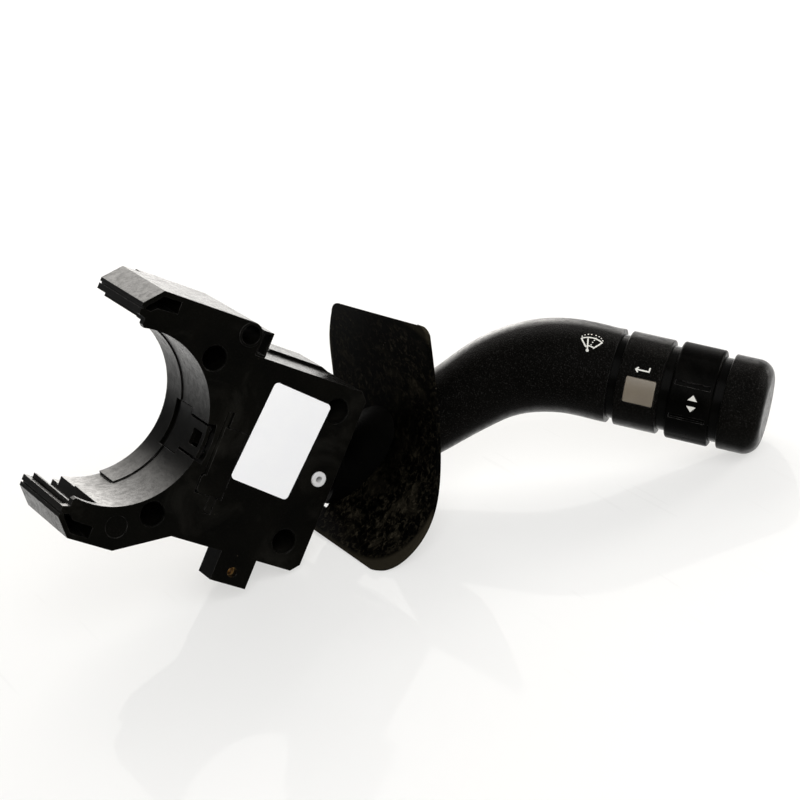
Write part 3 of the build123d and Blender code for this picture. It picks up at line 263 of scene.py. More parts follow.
def make_grain() -> SharedEffect:
    """Builds the spark-eroded grain that moulded plastic takes from its tool."""
    inputs = {"Vector": (VECTOR, None), "Pitch": (FLOAT, 2500.0), "Patch": (FLOAT, 60.0)}
    effect = SharedEffect("mould_grain", inputs, {"Height": FLOAT, "Mottle": FLOAT})
    sheet, source = effect.sheet, effect.source
    fine = sheet.noise(source["Vector"], source["Pitch"], detail=2.0)
    patch = sheet.noise(source["Vector"], source["Patch"], detail=4.0, roughness=0.6)
    effect.give("Height", sheet.ramp(fine, 0.35, 0.65))
    effect.give("Mottle", sheet.ramp(patch, 0.35, 0.7))
    return effect


def make_smudges() -> SharedEffect:
    """Builds the smudges, dust specks and fine scratches of a handled part."""
    swirl, highest_cloud, smudge_edge = 0.8, 0.78, 0.22
    speck_scale, chance_scale, scratch_scale, fade_scale = 260.0, 130.0, 900.0, 55.0
    inputs = {"Vector": (VECTOR, None), "Size": (FLOAT, 40.0), "Cover": (FLOAT, 0.3)}
    outputs = {"Smudge": FLOAT, "Specks": FLOAT, "Scratches": FLOAT}
    effect = SharedEffect("smudges", inputs, outputs)
    sheet, place = effect.sheet, effect.source["Vector"]
    cloud = sheet.noise(place, effect.source["Size"], detail=6.0, roughness=0.7)
    sheet.join(cloud.node.inputs["Distortion"], swirl)
    threshold = sheet.math("SUBTRACT", highest_cloud, effect.source["Cover"])
    above = sheet.math("SUBTRACT", cloud, threshold)
    effect.give("Smudge", sheet.ramp(above, 0.0, smudge_edge))
    dots = sheet.add("ShaderNodeTexVoronoi", {"Vector": place, "Scale": speck_scale})
    chance = sheet.ramp(sheet.noise(place, chance_scale, detail=1.0), 0.60, 0.66)
    near = sheet.ramp(dots.outputs["Distance"], 0.03, 0.08, 1.0, 0.0)
    effect.give("Specks", sheet.times(near, chance))
    along_z = sheet.stretched(place, (1.0, 1.0, 0.06))
    lines = sheet.noise(along_z, scratch_scale, detail=2.0, roughness=0.4)
    fade = sheet.ramp(sheet.noise(place, fade_scale, detail=2.0), 0.5, 0.7)
    effect.give("Scratches", sheet.times(sheet.ramp(lines, 0.66, 0.72), fade))
    return effect


def make_edge_wear() -> SharedEffect:
    """Builds the pale rub along sharp edges, from a rounded normal and the true one."""
    patch_scale = 350.0
    inputs = {"Rounded": (VECTOR, None), "Vector": (VECTOR, None), "Reach": (FLOAT, 0.5)}
    effect = SharedEffect("edge_wear", inputs, {"Wear": FLOAT})
    sheet, source = effect.sheet, effect.source
    true_normal = sheet.add("ShaderNodeNewGeometry").outputs["Normal"]
    bent = sheet.math("SUBTRACT", 1.0, sheet.dot(source["Rounded"], true_normal))
    patchy = sheet.ramp(sheet.noise(source["Vector"], patch_scale, detail=4.0), 0.35, 0.65)
    effect.give("Wear", sheet.times(sheet.ramp(bent, 0.02, 0.25), patchy, source["Reach"]))
    return effect


class Effects:
    """The shared effects, each built once."""

    def __init__(self) -> None:
        """Builds every group."""
        self.grain = make_grain()
        self.smudges = make_smudges()
        self.edge_wear = make_edge_wear()


# ---------------------------------------------------------------- finishes


class Finish:
    """Base of the finishes: a material with its sheet, coordinates and Principled shader."""

    def start(self, name: str) -> tuple[bpy.types.Material, NodeSheet, Socket, Node]:
        """Makes the material and the nodes that every finish shares.

        Args:
            name: The material's name.

        Returns:
            The material, its sheet, the object coordinates and the shader.
        """
        material = bpy.data.materials.new(name)
        material.use_nodes = True
        sheet = NodeSheet(material.node_tree)
        shader = material.node_tree.nodes["Principled BSDF"]
        place = sheet.add("ShaderNodeTexCoord").outputs["Object"]
        return material, sheet, place, shader

    def build(self, effects: Effects) -> bpy.types.Material:
        """Returns the finished material."""
        raise NotImplementedError


@dataclass(frozen=True)
class BlackMoulding(Finish):
    """Black moulded plastic with tool grain, mottling, dust, rubbed edges and painted glints on the
    grain's peaks.
    """

    name: str
    colour: Colour
    mottled: Colour
    roughness: float
    roughness_spread: float
    grain_pitch: float
    grain_depth: float
    edge_radius: float
    dust: float
    wear: float
    specular: float
    # Share of the painted highlight colour on the grain's peaks
    painted_glint: float
    grazing_coat: float
    coat_roughness: float
    coat_start: float = 0.45
    coat_end: float = 0.85
    patch_scale: float = 45.0
    smudge_scale: float = 38.0
    smudge_cover: float = 0.25
    speck_share: float = 1.6
    dust_roughness: float = 0.35
    wiped_coat: float = 0.55
    dull_coat: float = 0.55
    dull_scale: float = 420.0

    def grazing_gloss(self, sheet: NodeSheet, place: Socket, smudge: Socket) -> Socket:
        """Makes the gloss that the plastic shows only at a slant.

        Args:
            sheet: The material's sheet.
            place: The object coordinates.
            smudge: Where the surface is smudged, which dulls it.

        Returns:
            The coat's weight.
        """
        slant = sheet.add("ShaderNodeLayerWeight", {"Blend": 0.5}).outputs["Facing"]
        coat = sheet.ramp(slant, self.coat_start, self.coat_end, 0.0, self.grazing_coat)
        wiped = sheet.ramp(smudge, 0.0, 1.0, 1.0, self.wiped_coat)
        mottle = sheet.noise(place, self.dull_scale, detail=5.0, roughness=0.7)
        dull = sheet.ramp(mottle, 0.38, 0.58, self.dull_coat, 1.0)
        return sheet.times(coat, sheet.times(wiped, dull))

    def build(self, effects: Effects) -> bpy.types.Material:
        """Returns the finished material."""
        material, sheet, place, shader = self.start(self.name)
        inputs = {"Vector": place, "Pitch": self.grain_pitch, "Patch": self.patch_scale}
        grain = effects.grain.use(sheet, inputs)
        inputs = {"Vector": place, "Size": self.smudge_scale, "Cover": self.smudge_cover}
        marks = effects.smudges.use(sheet, inputs)
        rounded = sheet.rounded(self.edge_radius)
        inputs = {"Rounded": rounded, "Vector": place, "Reach": self.wear}
        worn = effects.edge_wear.use(sheet, inputs)
        dusty = sheet.times(marks["Smudge"], self.dust)
        specks = sheet.times(marks["Specks"], self.dust * self.speck_share)
        # Painted highlight: the grain's peaks take a paler colour as glints of light
        painted_glints = sheet.ramp(grain["Height"], 0.75, 1.0, 0.0, self.painted_glint)
        base = sheet.mix_colour(grain["Mottle"], self.colour, self.mottled)
        base = sheet.mix_colour(dusty, base, DUST)
        base = sheet.mix_colour(specks, base, SPECK)
        base = sheet.mix_colour(worn["Wear"], base, RUBBED)
        # Mixes in the painted glints on the grain's peaks
        base = sheet.mix_colour(painted_glints, base, PAINTED_GRAIN_GLINT)
        sheet.join(shader.inputs["Base Color"], base)
        low = self.roughness - self.roughness_spread
        high = self.roughness + self.roughness_spread
        rough = sheet.ramp(grain["Mottle"], 0.0, 1.0, low, high)
        rough = sheet.math("ADD", rough, sheet.times(dusty, self.dust_roughness))
        sheet.join(shader.inputs["Roughness"], rough)
        height = sheet.math("SUBTRACT", grain["Height"], marks["Scratches"])
        sheet.relief(shader, height, 0.6, self.grain_depth, rounded)
        shader.inputs["Specular IOR Level"].default_value = self.specular
        sheet.join(shader.inputs["Coat Weight"], self.grazing_gloss(sheet, place, marks["Smudge"]))
        shader.inputs["Coat Roughness"].default_value = self.coat_roughness
        return material


@dataclass(frozen=True)
class ShieldSheet(Finish):
    """Thin flexible black sheet, dusty and wiped in patches."""

    name: str = "shield_sheet"
    cloud_scale: float = 75.0
    cloud_cover: float = 0.26
    mottle_scale: float = 420.0
    mottle_cover: float = 0.27
    patch_scale: float = 30.0
    leather_scale: float = 900.0
    leather_depth: float = 0.05 * MM
    edge_radius: float = 0.7 * MM
    specular: float = 0.012

    def nearness_to_edge(self, sheet: NodeSheet, place: Socket) -> Socket:
        """Returns a value that grows from 0 at the sheet's middle to 1 at its edges."""
        squareness = 4.0
        low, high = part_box("dust_shield")
        centre, half = (low + high) / 2, (high - low) / 2
        offset = sheet.vectors("SUBTRACT", place, tuple(centre)).outputs[0]
        scaled = sheet.vectors("DIVIDE", offset, tuple(half)).outputs[0]
        axes = sheet.add("ShaderNodeSeparateXYZ", {0: scaled}).outputs
        powers = [
            sheet.math("POWER", sheet.math("ABSOLUTE", axes[name]), squareness) for name in "YZ"
        ]
        return sheet.math("POWER", sheet.math("ADD", *powers), 1 / squareness)

    def build(self, effects: Effects) -> bpy.types.Material:
        """Returns the finished material."""
        material, sheet, place, shader = self.start(self.name)
        inputs = {"Vector": place, "Size": self.cloud_scale, "Cover": self.cloud_cover}
        wiped = effects.smudges.use(sheet, inputs)
        inputs = {"Vector": place, "Size": self.mottle_scale, "Cover": self.mottle_cover}
        fine = effects.smudges.use(sheet, inputs)
        edge = self.nearness_to_edge(sheet, place)
        patch = sheet.noise(place, self.patch_scale, detail=4.0, roughness=0.6)
        patches = sheet.ramp(patch, 0.36, 0.58, 0.25, 1.0)
        spread = sheet.times(sheet.ramp(edge, 0.20, 0.75, 0.06, 1.0), patches)
        clouds = sheet.times(wiped["Smudge"], spread, 0.55)
        mottle = sheet.times(fine["Smudge"], sheet.math("ADD", spread, 0.08), 0.75)
        rim = sheet.ramp(edge, 0.955, 0.99, 0.0, 0.35)
        dusty = sheet.math("MAXIMUM", sheet.math("ADD", clouds, mottle), rim)
        base = sheet.mix_colour(dusty, SHIELD_BLACK, SHIELD_DUST)
        base = sheet.mix_colour(sheet.times(fine["Specks"], 0.35), base, SHIELD_SPECK)
        sheet.join(shader.inputs["Base Color"], base)
        sheet.join(shader.inputs["Roughness"], sheet.ramp(dusty, 0.0, 1.0, 0.5, 0.8))
        leather = sheet.noise(place, self.leather_scale)
        sheet.relief(shader, leather, 0.5, self.leather_depth, sheet.rounded(self.edge_radius))
        shader.inputs["Specular IOR Level"].default_value = self.specular
        return material


@dataclass(frozen=True)
class PaleMoulding(Finish):
    """Pale plastic, such as nylon, a grey button or printed film."""

    name: str
    colour: Colour
    shade: Colour
    roughness: float
    grain_pitch: float
    grain_depth: float
    edge_radius: float
    grime: float = 0.12
    roughness_spread: float = 0.05
    patch_scale: float = 120.0
    smudge_scale: float = 90.0
    smudge_cover: float = 0.22

    def build(self, effects: Effects) -> bpy.types.Material:
        """Returns the finished material."""
        material, sheet, place, shader = self.start(self.name)
        inputs = {"Vector": place, "Pitch": self.grain_pitch, "Patch": self.patch_scale}
        grain = effects.grain.use(sheet, inputs)
        inputs = {"Vector": place, "Size": self.smudge_scale, "Cover": self.smudge_cover}
        marks = effects.smudges.use(sheet, inputs)
        base = sheet.mix_colour(grain["Mottle"], self.colour, self.shade)
        base = sheet.mix_colour(sheet.times(marks["Smudge"], self.grime), base, GRIME)
        sheet.join(shader.inputs["Base Color"], base)
        low = self.roughness - self.roughness_spread
        high = self.roughness + self.roughness_spread
        sheet.join(shader.inputs["Roughness"], sheet.ramp(grain["Mottle"], 0.0, 1.0, low, high))
        rounded = sheet.rounded(self.edge_radius)
        sheet.relief(shader, grain["Height"], 0.5, self.grain_depth, rounded)
        return material


@dataclass(frozen=True)
class BareMetal(Finish):
    """Turned or plated metal with fine tool lines and dulled patches."""

    name: str
    colour: Colour
    dulled: Colour
    roughness: float
    dulled_roughness: float = 0.2
    smudge_scale: float = 300.0
    smudge_cover: float = 0.35
    tool_line_scale: float = 1400.0
    tool_line_depth: float = 0.02 * MM

    def build(self, effects: Effects) -> bpy.types.Material:
        """Returns the finished material."""
        material, sheet, place, shader = self.start(self.name)
        inputs = {"Vector": place, "Size": self.smudge_scale, "Cover": self.smudge_cover}
        smudge = effects.smudges.use(sheet, inputs)["Smudge"]
        sheet.join(shader.inputs["Base Color"], sheet.mix_colour(smudge, self.colour, self.dulled))
        shader.inputs["Metallic"].default_value = 1.0
        dulled_roughness = self.roughness + self.dulled_roughness
        rough = sheet.ramp(smudge, 0.0, 1.0, self.roughness, dulled_roughness)
        sheet.join(shader.inputs["Roughness"], rough)
        turned = sheet.stretched(place, (1.0, 9.0, 1.0))
        lines = sheet.noise(turned, self.tool_line_scale, detail=2.0)
        sheet.relief(shader, lines, 0.35, self.tool_line_depth)
        return material


@dataclass(frozen=True)
class PrintedInk(Finish):
    """Pad-printed ink with thin spots."""

    name: str
    colour: Colour
    thin_scale: float = 2200.0
    thin_share: float = 0.35
    thin_tone: float = 0.45

    def build(self, effects: Effects) -> bpy.types.Material:
        """Returns the finished material."""
        material, sheet, place, shader = self.start(self.name)
        thin = sheet.ramp(sheet.noise(place, self.thin_scale), 0.55, 0.75, 0.0, self.thin_share)
        dim = tuple(part * self.thin_tone for part in self.colour[:3]) + (1.0,)
        sheet.join(shader.inputs["Base Color"], sheet.mix_colour(thin, self.colour, dim))
        sheet.join(shader.inputs["Roughness"], sheet.ramp(thin, 0.0, self.thin_share, 0.45, 0.6))
        return material


@dataclass(frozen=True)
class Lacquer(Finish):
    """The table's glossy white, faintly scratched, which can't be seen from underneath."""

    name: str = "white_lacquer"
    glow: float = 0.57
    glow_tint: Colour = (1.0, 0.995, 0.975, 1.0)
    white: float = 0.32
    scratched: float = 0.18
    scratch_share: float = 0.14
    roughness: float = 0.03
    ior: float = 1.08
    scratch_turns: tuple[float, float] = (0.6, -0.9)
    scratch_scales: tuple[float, float] = (300.0, 240.0)

    def scratches(self, sheet: NodeSheet, place: Socket) -> Socket:
        """Returns where the table is scratched, in two directions and in patches."""
        scratch = 0.0
        for turn, scale in zip(self.scratch_turns, self.scratch_scales):
            stretched = sheet.stretched(place, (1.0, 0.05, 1.0), turn)
            line = sheet.ramp(sheet.noise(stretched, scale, detail=1.0, roughness=0.4), 0.735, 0.75)
            scratch = sheet.math("MAXIMUM", scratch, line)
        patches = sheet.ramp(sheet.noise(place, 9.0, detail=2.0), 0.5, 0.62, 0.0, self.scratch_share)
        return sheet.times(scratch, patches)

    def build(self, effects: Effects) -> bpy.types.Material:
        """Returns the finished material."""
        material, sheet, place, shader = self.start(self.name)
        faint = self.scratches(sheet, place)
        base = sheet.mix_colour(faint, grey(self.white), grey(self.scratched))
        sheet.join(shader.inputs["Base Color"], base)
        shader.inputs["Roughness"].default_value = self.roughness
        shader.inputs["IOR"].default_value = self.ior
        rays = sheet.add("ShaderNodeLightPath").outputs
        shown = sheet.math("MAXIMUM", rays["Is Camera Ray"], rays["Is Glossy Ray"])
        shown = sheet.math("MAXIMUM", shown, rays["Is Transmission Ray"])
        shader.inputs["Emission Color"].default_value = self.glow_tint
        sheet.join(shader.inputs["Emission Strength"], sheet.times(shown, self.glow))
        clear = sheet.add("ShaderNodeBsdfTransparent").outputs[0]
        behind = sheet.add("ShaderNodeNewGeometry").outputs["Backfacing"]
        share = sheet.times(behind, rays["Is Camera Ray"])
        mixed = sheet.add("ShaderNodeMixShader", {0: share, 1: shader.outputs[0], 2: clear})
        surface = material.node_tree.nodes["Material Output"].inputs["Surface"]
        sheet.join(surface, mixed.outputs[0])
        return material


class FinishName(Enum):
    """The finishes by what they are used on."""

    HOUSING = BlackMoulding(
        name="glass_filled_moulding",
        colour=(0.0011, 0.0011, 0.0008, 1.0), mottled=(0.0028, 0.0026, 0.0019, 1.0),
        roughness=0.34, roughness_spread=0.05, grain_pitch=2600.0, grain_depth=0.025 * MM,
        edge_radius=0.30 * MM, dust=0.08, wear=0.60, specular=0.014,
        painted_glint=0.06, grazing_coat=1.0, coat_roughness=0.26, coat_start=0.44, coat_end=0.90)
    NECK = BlackMoulding(
        name="dull_neck_moulding",
        colour=(0.0008, 0.0008, 0.0007, 1.0), mottled=(0.0014, 0.0013, 0.0011, 1.0),
        roughness=0.55, roughness_spread=0.05, grain_pitch=2600.0, grain_depth=0.025 * MM,
        edge_radius=0.15 * MM, dust=0.02, wear=0.05, specular=0.01,
        painted_glint=0.0, grazing_coat=0.05, coat_roughness=0.4)
    GRIP = BlackMoulding(
        name="soft_touch_moulding",
        colour=(0.0013, 0.0012, 0.0009, 1.0), mottled=(0.0022, 0.0020, 0.0016, 1.0),
        roughness=0.46, roughness_spread=0.04, grain_pitch=2100.0, grain_depth=0.14 * MM,
        edge_radius=0.35 * MM, dust=0.03, wear=0.50, specular=0.016,
        painted_glint=0.20, grazing_coat=1.0, coat_roughness=0.32, coat_start=0.48)
    RING = BlackMoulding(
        name="selector_moulding",
        colour=(0.0006, 0.0006, 0.0005, 1.0), mottled=(0.0013, 0.0012, 0.0010, 1.0),
        roughness=0.30, roughness_spread=0.04, grain_pitch=2600.0, grain_depth=0.03 * MM,
        edge_radius=0.35 * MM, dust=0.03, wear=0.90, specular=0.012,
        painted_glint=0.02, grazing_coat=0.22, coat_roughness=0.22, coat_start=0.55)
    SLEEVE = BlackMoulding(
        name="gloss_sleeve_moulding",
        colour=(0.0012, 0.0012, 0.0010, 1.0), mottled=(0.0018, 0.0017, 0.0015, 1.0),
        roughness=0.26, roughness_spread=0.04, grain_pitch=3000.0, grain_depth=0.010 * MM,
        edge_radius=0.20 * MM, dust=0.03, wear=0.10, specular=0.02,
        painted_glint=0.0, grazing_coat=1.0, coat_roughness=0.2, coat_start=0.58, coat_end=0.80)
    SHIELD = ShieldSheet()
    NYLON = PaleMoulding(
        name="white_nylon", colour=grey(0.66), shade=(0.60, 0.60, 0.58, 1.0),
        roughness=0.42, grain_pitch=900.0, grain_depth=0.01 * MM, edge_radius=0.25 * MM)
    INNER = PaleMoulding(
        name="inner_acetal", colour=(0.70, 0.68, 0.62, 1.0), shade=(0.60, 0.58, 0.52, 1.0),
        roughness=0.40, grain_pitch=900.0, grain_depth=0.01 * MM, edge_radius=0.25 * MM)
    LABEL = PaleMoulding(
        name="label_film", colour=grey(0.97), shade=(0.95, 0.95, 0.96, 1.0),
        roughness=0.38, grain_pitch=1200.0, grain_depth=0.006 * MM, edge_radius=0.05 * MM,
        grime=0.02)
    BUTTON = PaleMoulding(
        name="satin_button", colour=(0.172, 0.145, 0.108, 1.0),
        shade=(0.150, 0.126, 0.094, 1.0), roughness=0.38, grain_pitch=2400.0,
        grain_depth=0.03 * MM, edge_radius=0.45 * MM)
    ZINC = BareMetal(
        name="zinc_plate", colour=(0.55, 0.54, 0.50, 1.0), dulled=(0.30, 0.29, 0.26, 1.0),
        roughness=0.34)
    STEEL = BareMetal(
        name="ground_steel", colour=(0.60, 0.60, 0.60, 1.0), dulled=(0.38, 0.37, 0.36, 1.0),
        roughness=0.28)
    TIN = BareMetal(
        name="tinned_pin", colour=(0.72, 0.72, 0.70, 1.0), dulled=(0.50, 0.50, 0.48, 1.0),
        roughness=0.30)
    BRASS = BareMetal(
        name="turned_brass", colour=(0.62, 0.40, 0.15, 1.0), dulled=(0.16, 0.09, 0.035, 1.0),
        roughness=0.30)
    BOARD = PaleMoulding(
        name="board_resist", colour=(0.02, 0.16, 0.06, 1.0), shade=(0.015, 0.12, 0.045, 1.0),
        roughness=0.35, grain_pitch=700.0, grain_depth=0.02 * MM, edge_radius=0.1 * MM)
    INK = PrintedInk(name="sign_ink", colour=(0.70, 0.69, 0.64, 1.0))
    LACQUER = Lacquer()


class Paintbox:
    """Builds each finish once and gives it to the pieces."""

    def __init__(self) -> None:
        """Starts with the shared effects and no materials."""
        self.effects = Effects()
        self.materials: dict[FinishName, bpy.types.Material] = {}

    def material(self, finish: FinishName) -> bpy.types.Material:
        """Returns a finish's material, built on its first use."""
        if finish not in self.materials:
            self.materials[finish] = finish.value.build(self.effects)
        return self.materials[finish]

    def dress(self, piece: bpy.types.Object, finish: FinishName) -> None:
        """Gives a piece its material.

        Args:
            piece: A CAD node's object or a new piece.
            finish: The finish that it takes.
        """
        piece.data.materials.clear()
        piece.data.materials.append(self.material(finish))


# ---------------------------------------------------------------- the CAD nodes


@dataclass
class SubAssembly:
    """Some CAD nodes that are dressed together, with the finish of each."""

    name: str
    finishes: dict[str, FinishName]

    def dress(self, paint: Paintbox) -> None:
        """Gives every node of this sub-assembly its finish."""
        for node, finish in self.finishes.items():
            paint.dress(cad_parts[node], finish)
        log.info("%s: %d nodes dressed", self.name, len(self.finishes))


HOUSING = SubAssembly("housing", {
    "housing_body": FinishName.HOUSING,
    "back_cover": FinishName.HOUSING,
    "cover_screws": FinishName.ZINC,
    "latch_flap": FinishName.HOUSING,
    "latch_tongue": FinishName.HOUSING,
    "part_label": FinishName.LABEL,
    "nylon_rivet": FinishName.NYLON,
    "tab_insert": FinishName.BRASS,
    "side_clip": FinishName.HOUSING,
    "connector_housing": FinishName.HOUSING,
    "connector_pins": FinishName.TIN,
    "circuit_board": FinishName.BOARD,
    "detent_track": FinishName.INNER,
    "cradle_pin": FinishName.STEEL,
})
SWITCHGEAR = SubAssembly("switchgear", {
    "lever_cradle": FinishName.INNER,
    "detent_plunger": FinishName.INNER,
    "detent_spring": FinishName.STEEL,
    "contact_slider": FinishName.INNER,
    "pull_pin": FinishName.STEEL,
})
STALK = SubAssembly("stalk", {
    "lever_neck": FinishName.NECK,
    "shield_collar": FinishName.NECK,
    "dust_shield": FinishName.SHIELD,
    "stalk_grip": FinishName.GRIP,
    "stalk_core": FinishName.INNER,
    "end_sleeve": FinishName.SLEEVE,
    "button_ring": FinishName.GRIP,
    "push_button": FinishName.BUTTON,
    "switch_board": FinishName.BOARD,
    "button_switch": FinishName.INNER,
    "end_switch": FinishName.INNER,
    "selector_ring": FinishName.RING,
    "end_cap": FinishName.GRIP,
})


# ---------------------------------------------------------------- printed signs


@dataclass
class StalkSurface:
    """The round outside of the stalk's end, which a flat sign is wrapped onto."""

    radius: float

    def point(self, along: float, round_stalk: float, height: float) -> Vector:
        """Finds a place on the stalk.

        Args:
            along: Distance from the bend corner along the end direction.
            round_stalk: Angle from the button's direction, in radians.
            height: Height above the surface.

        Returns:
            The point.
        """
        low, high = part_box("push_button")
        towards = (low + high) / 2 - BEND_CORNER
        face = (towards - END_DIRECTION * towards.dot(END_DIRECTION)).normalized()
        side = END_DIRECTION.cross(face)
        outward = face * math.cos(round_stalk) + side * math.sin(round_stalk)
        return BEND_CORNER + END_DIRECTION * along + outward * (self.radius + height)

    def wrap(self, mesh: bmesh.types.BMesh, along: float, angle: float) -> None:
        """Bends a flat sign onto the stalk.

        Args:
            mesh: The sign, flat in X and Y, with its middle at the origin.
            along: Where its middle comes along the end direction.
            angle: Where its middle comes round the stalk, in degrees.
        """
        for vertex in mesh.verts:
            turn = math.radians(angle) - vertex.co.y / self.radius
            vertex.co = self.point(along + vertex.co.x, turn, vertex.co.z)


@dataclass
class Sign:
    """A sign of printed strokes and patches, drawn flat and then wrapped."""

    name: str
    body: str
    along: float
    angle: float
    surface: StalkSurface
    ink_thickness: float = 0.04 * MM
    stroke: float = 0.55 * MM
    sink: float = 0.02 * MM
    cut: float = 0.7 * MM
    cuts_each_way: int = 8
    slot: str = "label_film"

    def bar(self, mesh: bmesh.types.BMesh, start: Vector, end: Vector) -> None:
        """Adds one straight stroke between two points of the flat sign."""
        run = end - start
        turn = Matrix.Rotation(math.atan2(run.y, run.x), 4, "Z")
        middle = Matrix.Translation(((start.x + end.x) / 2, (start.y + end.y) / 2, 0.0))
        size = Matrix.Diagonal((run.length + self.stroke * 0.5, self.stroke, 1.0, 1.0))
        place = middle @ turn @ size
        bmesh.ops.create_grid(mesh, x_segments=4, y_segments=1, size=0.5, matrix=place)

    def arc(
        self, mesh: bmesh.types.BMesh, radius: float, low: float, high: float, centre_y: float
    ) -> None:
        """Adds a curved stroke about a point on the sign's middle line.

        Args:
            mesh: The flat sign.
            radius: The stroke's radius.
            low: The angle where it starts, in degrees.
            high: The angle where it ends.
            centre_y: The height of its centre.
        """
        steps = 8
        points = []
        for index in range(steps + 1):
            turn = math.radians(low + (high - low) * index / steps)
            points.append(Vector((radius * math.cos(turn), centre_y + radius * math.sin(turn), 0.0)))
        for first, second in zip(points, points[1:]):
            self.bar(mesh, first, second)

    def dot(self, mesh: bmesh.types.BMesh, x: float, y: float, radius: float) -> None:
        """Adds one round spot."""
        place = Matrix.Translation((x, y, 0.0))
        bmesh.ops.create_circle(mesh, cap_ends=True, radius=radius, segments=14, matrix=place)

    def cut_across(self, mesh: bmesh.types.BMesh) -> None:
        """Cuts the flat sign into small faces, so that it bends smoothly."""
        for axis in (Vector((1, 0, 0)), Vector((0, 1, 0))):
            for step in range(-self.cuts_each_way, self.cuts_each_way + 1):
                geometry = mesh.verts[:] + mesh.edges[:] + mesh.faces[:]
                place = axis * self.cut * step
                bmesh.ops.bisect_plane(mesh, geom=geometry, plane_co=place, plane_no=axis)

    def finish(self, mesh: bmesh.types.BMesh, paint: Paintbox) -> bpy.types.Object:
        """Thickens the flat sign, wraps it onto the stalk and makes it a piece.

        Args:
            mesh: The flat sign.
            paint: Where the ink comes from.

        Returns:
            The piece.
        """
        self.cut_across(mesh)
        raised = bmesh.ops.extrude_face_region(mesh, geom=mesh.faces[:])["geom"]
        tops = [item for item in raised if isinstance(item, bmesh.types.BMVert)]
        bmesh.ops.translate(mesh, verts=tops, vec=(0, 0, self.ink_thickness + self.sink))
        bmesh.ops.translate(mesh, verts=mesh.verts, vec=(0, 0, -self.sink))
        self.surface.wrap(mesh, self.along, self.angle)
        bmesh.ops.recalc_face_normals(mesh, faces=mesh.faces)
        data = bpy.data.meshes.new(self.name)
        mesh.to_mesh(data)
        mesh.free()
        piece = bpy.data.objects.new(self.name, data)
        bpy.context.scene.collection.objects.link(piece)
        paint.dress(piece, FinishName.INK)
        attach(piece, self.body)
        log.info("%s: %d faces on %s", self.name, len(data.polygons), self.body)
        return piece


@dataclass
class WiperSign(Sign):
    """The common windscreen sign: a pane, a wiper blade and a dotted spray."""

    pane_centre: float = -4.3 * MM
    pane_outer: float = 6.6 * MM
    pane_inner: float = 2.6 * MM
    pane_half_angle: float = 38.0
    blade_foot: tuple[float, float] = (-0.5 * MM, 0.6 * MM)
    blade_tip: tuple[float, float] = (-1.6 * MM, 5.8 * MM)
    blade_hub_radius: float = 0.62 * MM
    jet_dots: int = 4
    jet_start: tuple[float, float] = (0.25 * MM, 3.3 * MM)
    jet_step: tuple[float, float] = (0.33 * MM, 1.15 * MM)
    jet_dot_radius: float = 0.26 * MM
    spray_radius: float = 8.3 * MM
    spray_dots: int = 4
    spray_start_angle: float = 6.0
    spray_step_angle: float = 9.0
    spray_droop: float = 0.28 * MM
    spray_dot_radius: float = 0.27 * MM

    def draw_pane(self, mesh: bmesh.types.BMesh) -> None:
        """Draws the windscreen's four edges."""
        low, high = 90 - self.pane_half_angle, 90 + self.pane_half_angle
        self.arc(mesh, self.pane_outer, low, high, self.pane_centre)
        self.arc(mesh, self.pane_inner, low, high, self.pane_centre)
        foot = Vector((0.0, self.pane_centre, 0.0))
        for angle in (low, high):
            turn = math.radians(angle)
            ray = Vector((math.cos(turn), math.sin(turn), 0.0))
            self.bar(mesh, foot + ray * self.pane_inner, foot + ray * self.pane_outer)

    def draw_blade(self, mesh: bmesh.types.BMesh) -> None:
        """Draws the wiper and the dotted jet beside it."""
        foot = Vector((self.blade_foot[0], self.pane_centre + self.blade_foot[1], 0.0))
        tip = Vector((self.blade_tip[0], self.pane_centre + self.blade_tip[1], 0.0))
        self.bar(mesh, foot, tip)
        self.dot(mesh, foot.x, foot.y, self.blade_hub_radius)
        for index in range(self.jet_dots):
            x = self.jet_start[0] + self.jet_step[0] * index
            y = self.pane_centre + self.jet_start[1] + self.jet_step[1] * index
            self.dot(mesh, x, y, self.jet_dot_radius)

    def draw_spray(self, mesh: bmesh.types.BMesh) -> None:
        """Draws the dotted arc over the pane, which droops at both ends."""
        for side in (-1, 1):
            for index in range(self.spray_dots):
                angle = self.spray_start_angle + self.spray_step_angle * index
                turn = math.radians(90 + side * angle)
                reach = self.spray_radius - self.spray_droop * index * index / 3
                height = self.pane_centre + reach * math.sin(turn)
                self.dot(mesh, reach * math.cos(turn), height, self.spray_dot_radius)

    def build(self, paint: Paintbox) -> bpy.types.Object:
        """Draws the sign and returns its piece."""
        mesh = bmesh.new()
        self.draw_pane(mesh)
        self.draw_blade(mesh)
        self.draw_spray(mesh)
        return self.finish(mesh, paint)


@dataclass
class StepArrows(Sign):
    """Two small triangles that point up and down round the selector ring."""

    half_base: float = 1.85 * MM
    height: float = 2.2 * MM
    gap: float = 1.1 * MM

    def build(self, paint: Paintbox) -> bpy.types.Object:
        """Draws the sign and returns its piece."""
        mesh = bmesh.new()
        for side in (-1, 1):
            corners = [
                mesh.verts.new((-self.half_base, side * self.gap, 0.0)),
                mesh.verts.new((self.half_base, side * self.gap, 0.0)),
                mesh.verts.new((0.0, side * (self.gap + self.height), 0.0)),
            ]
            mesh.faces.new(corners[::side])
        return self.finish(mesh, paint)


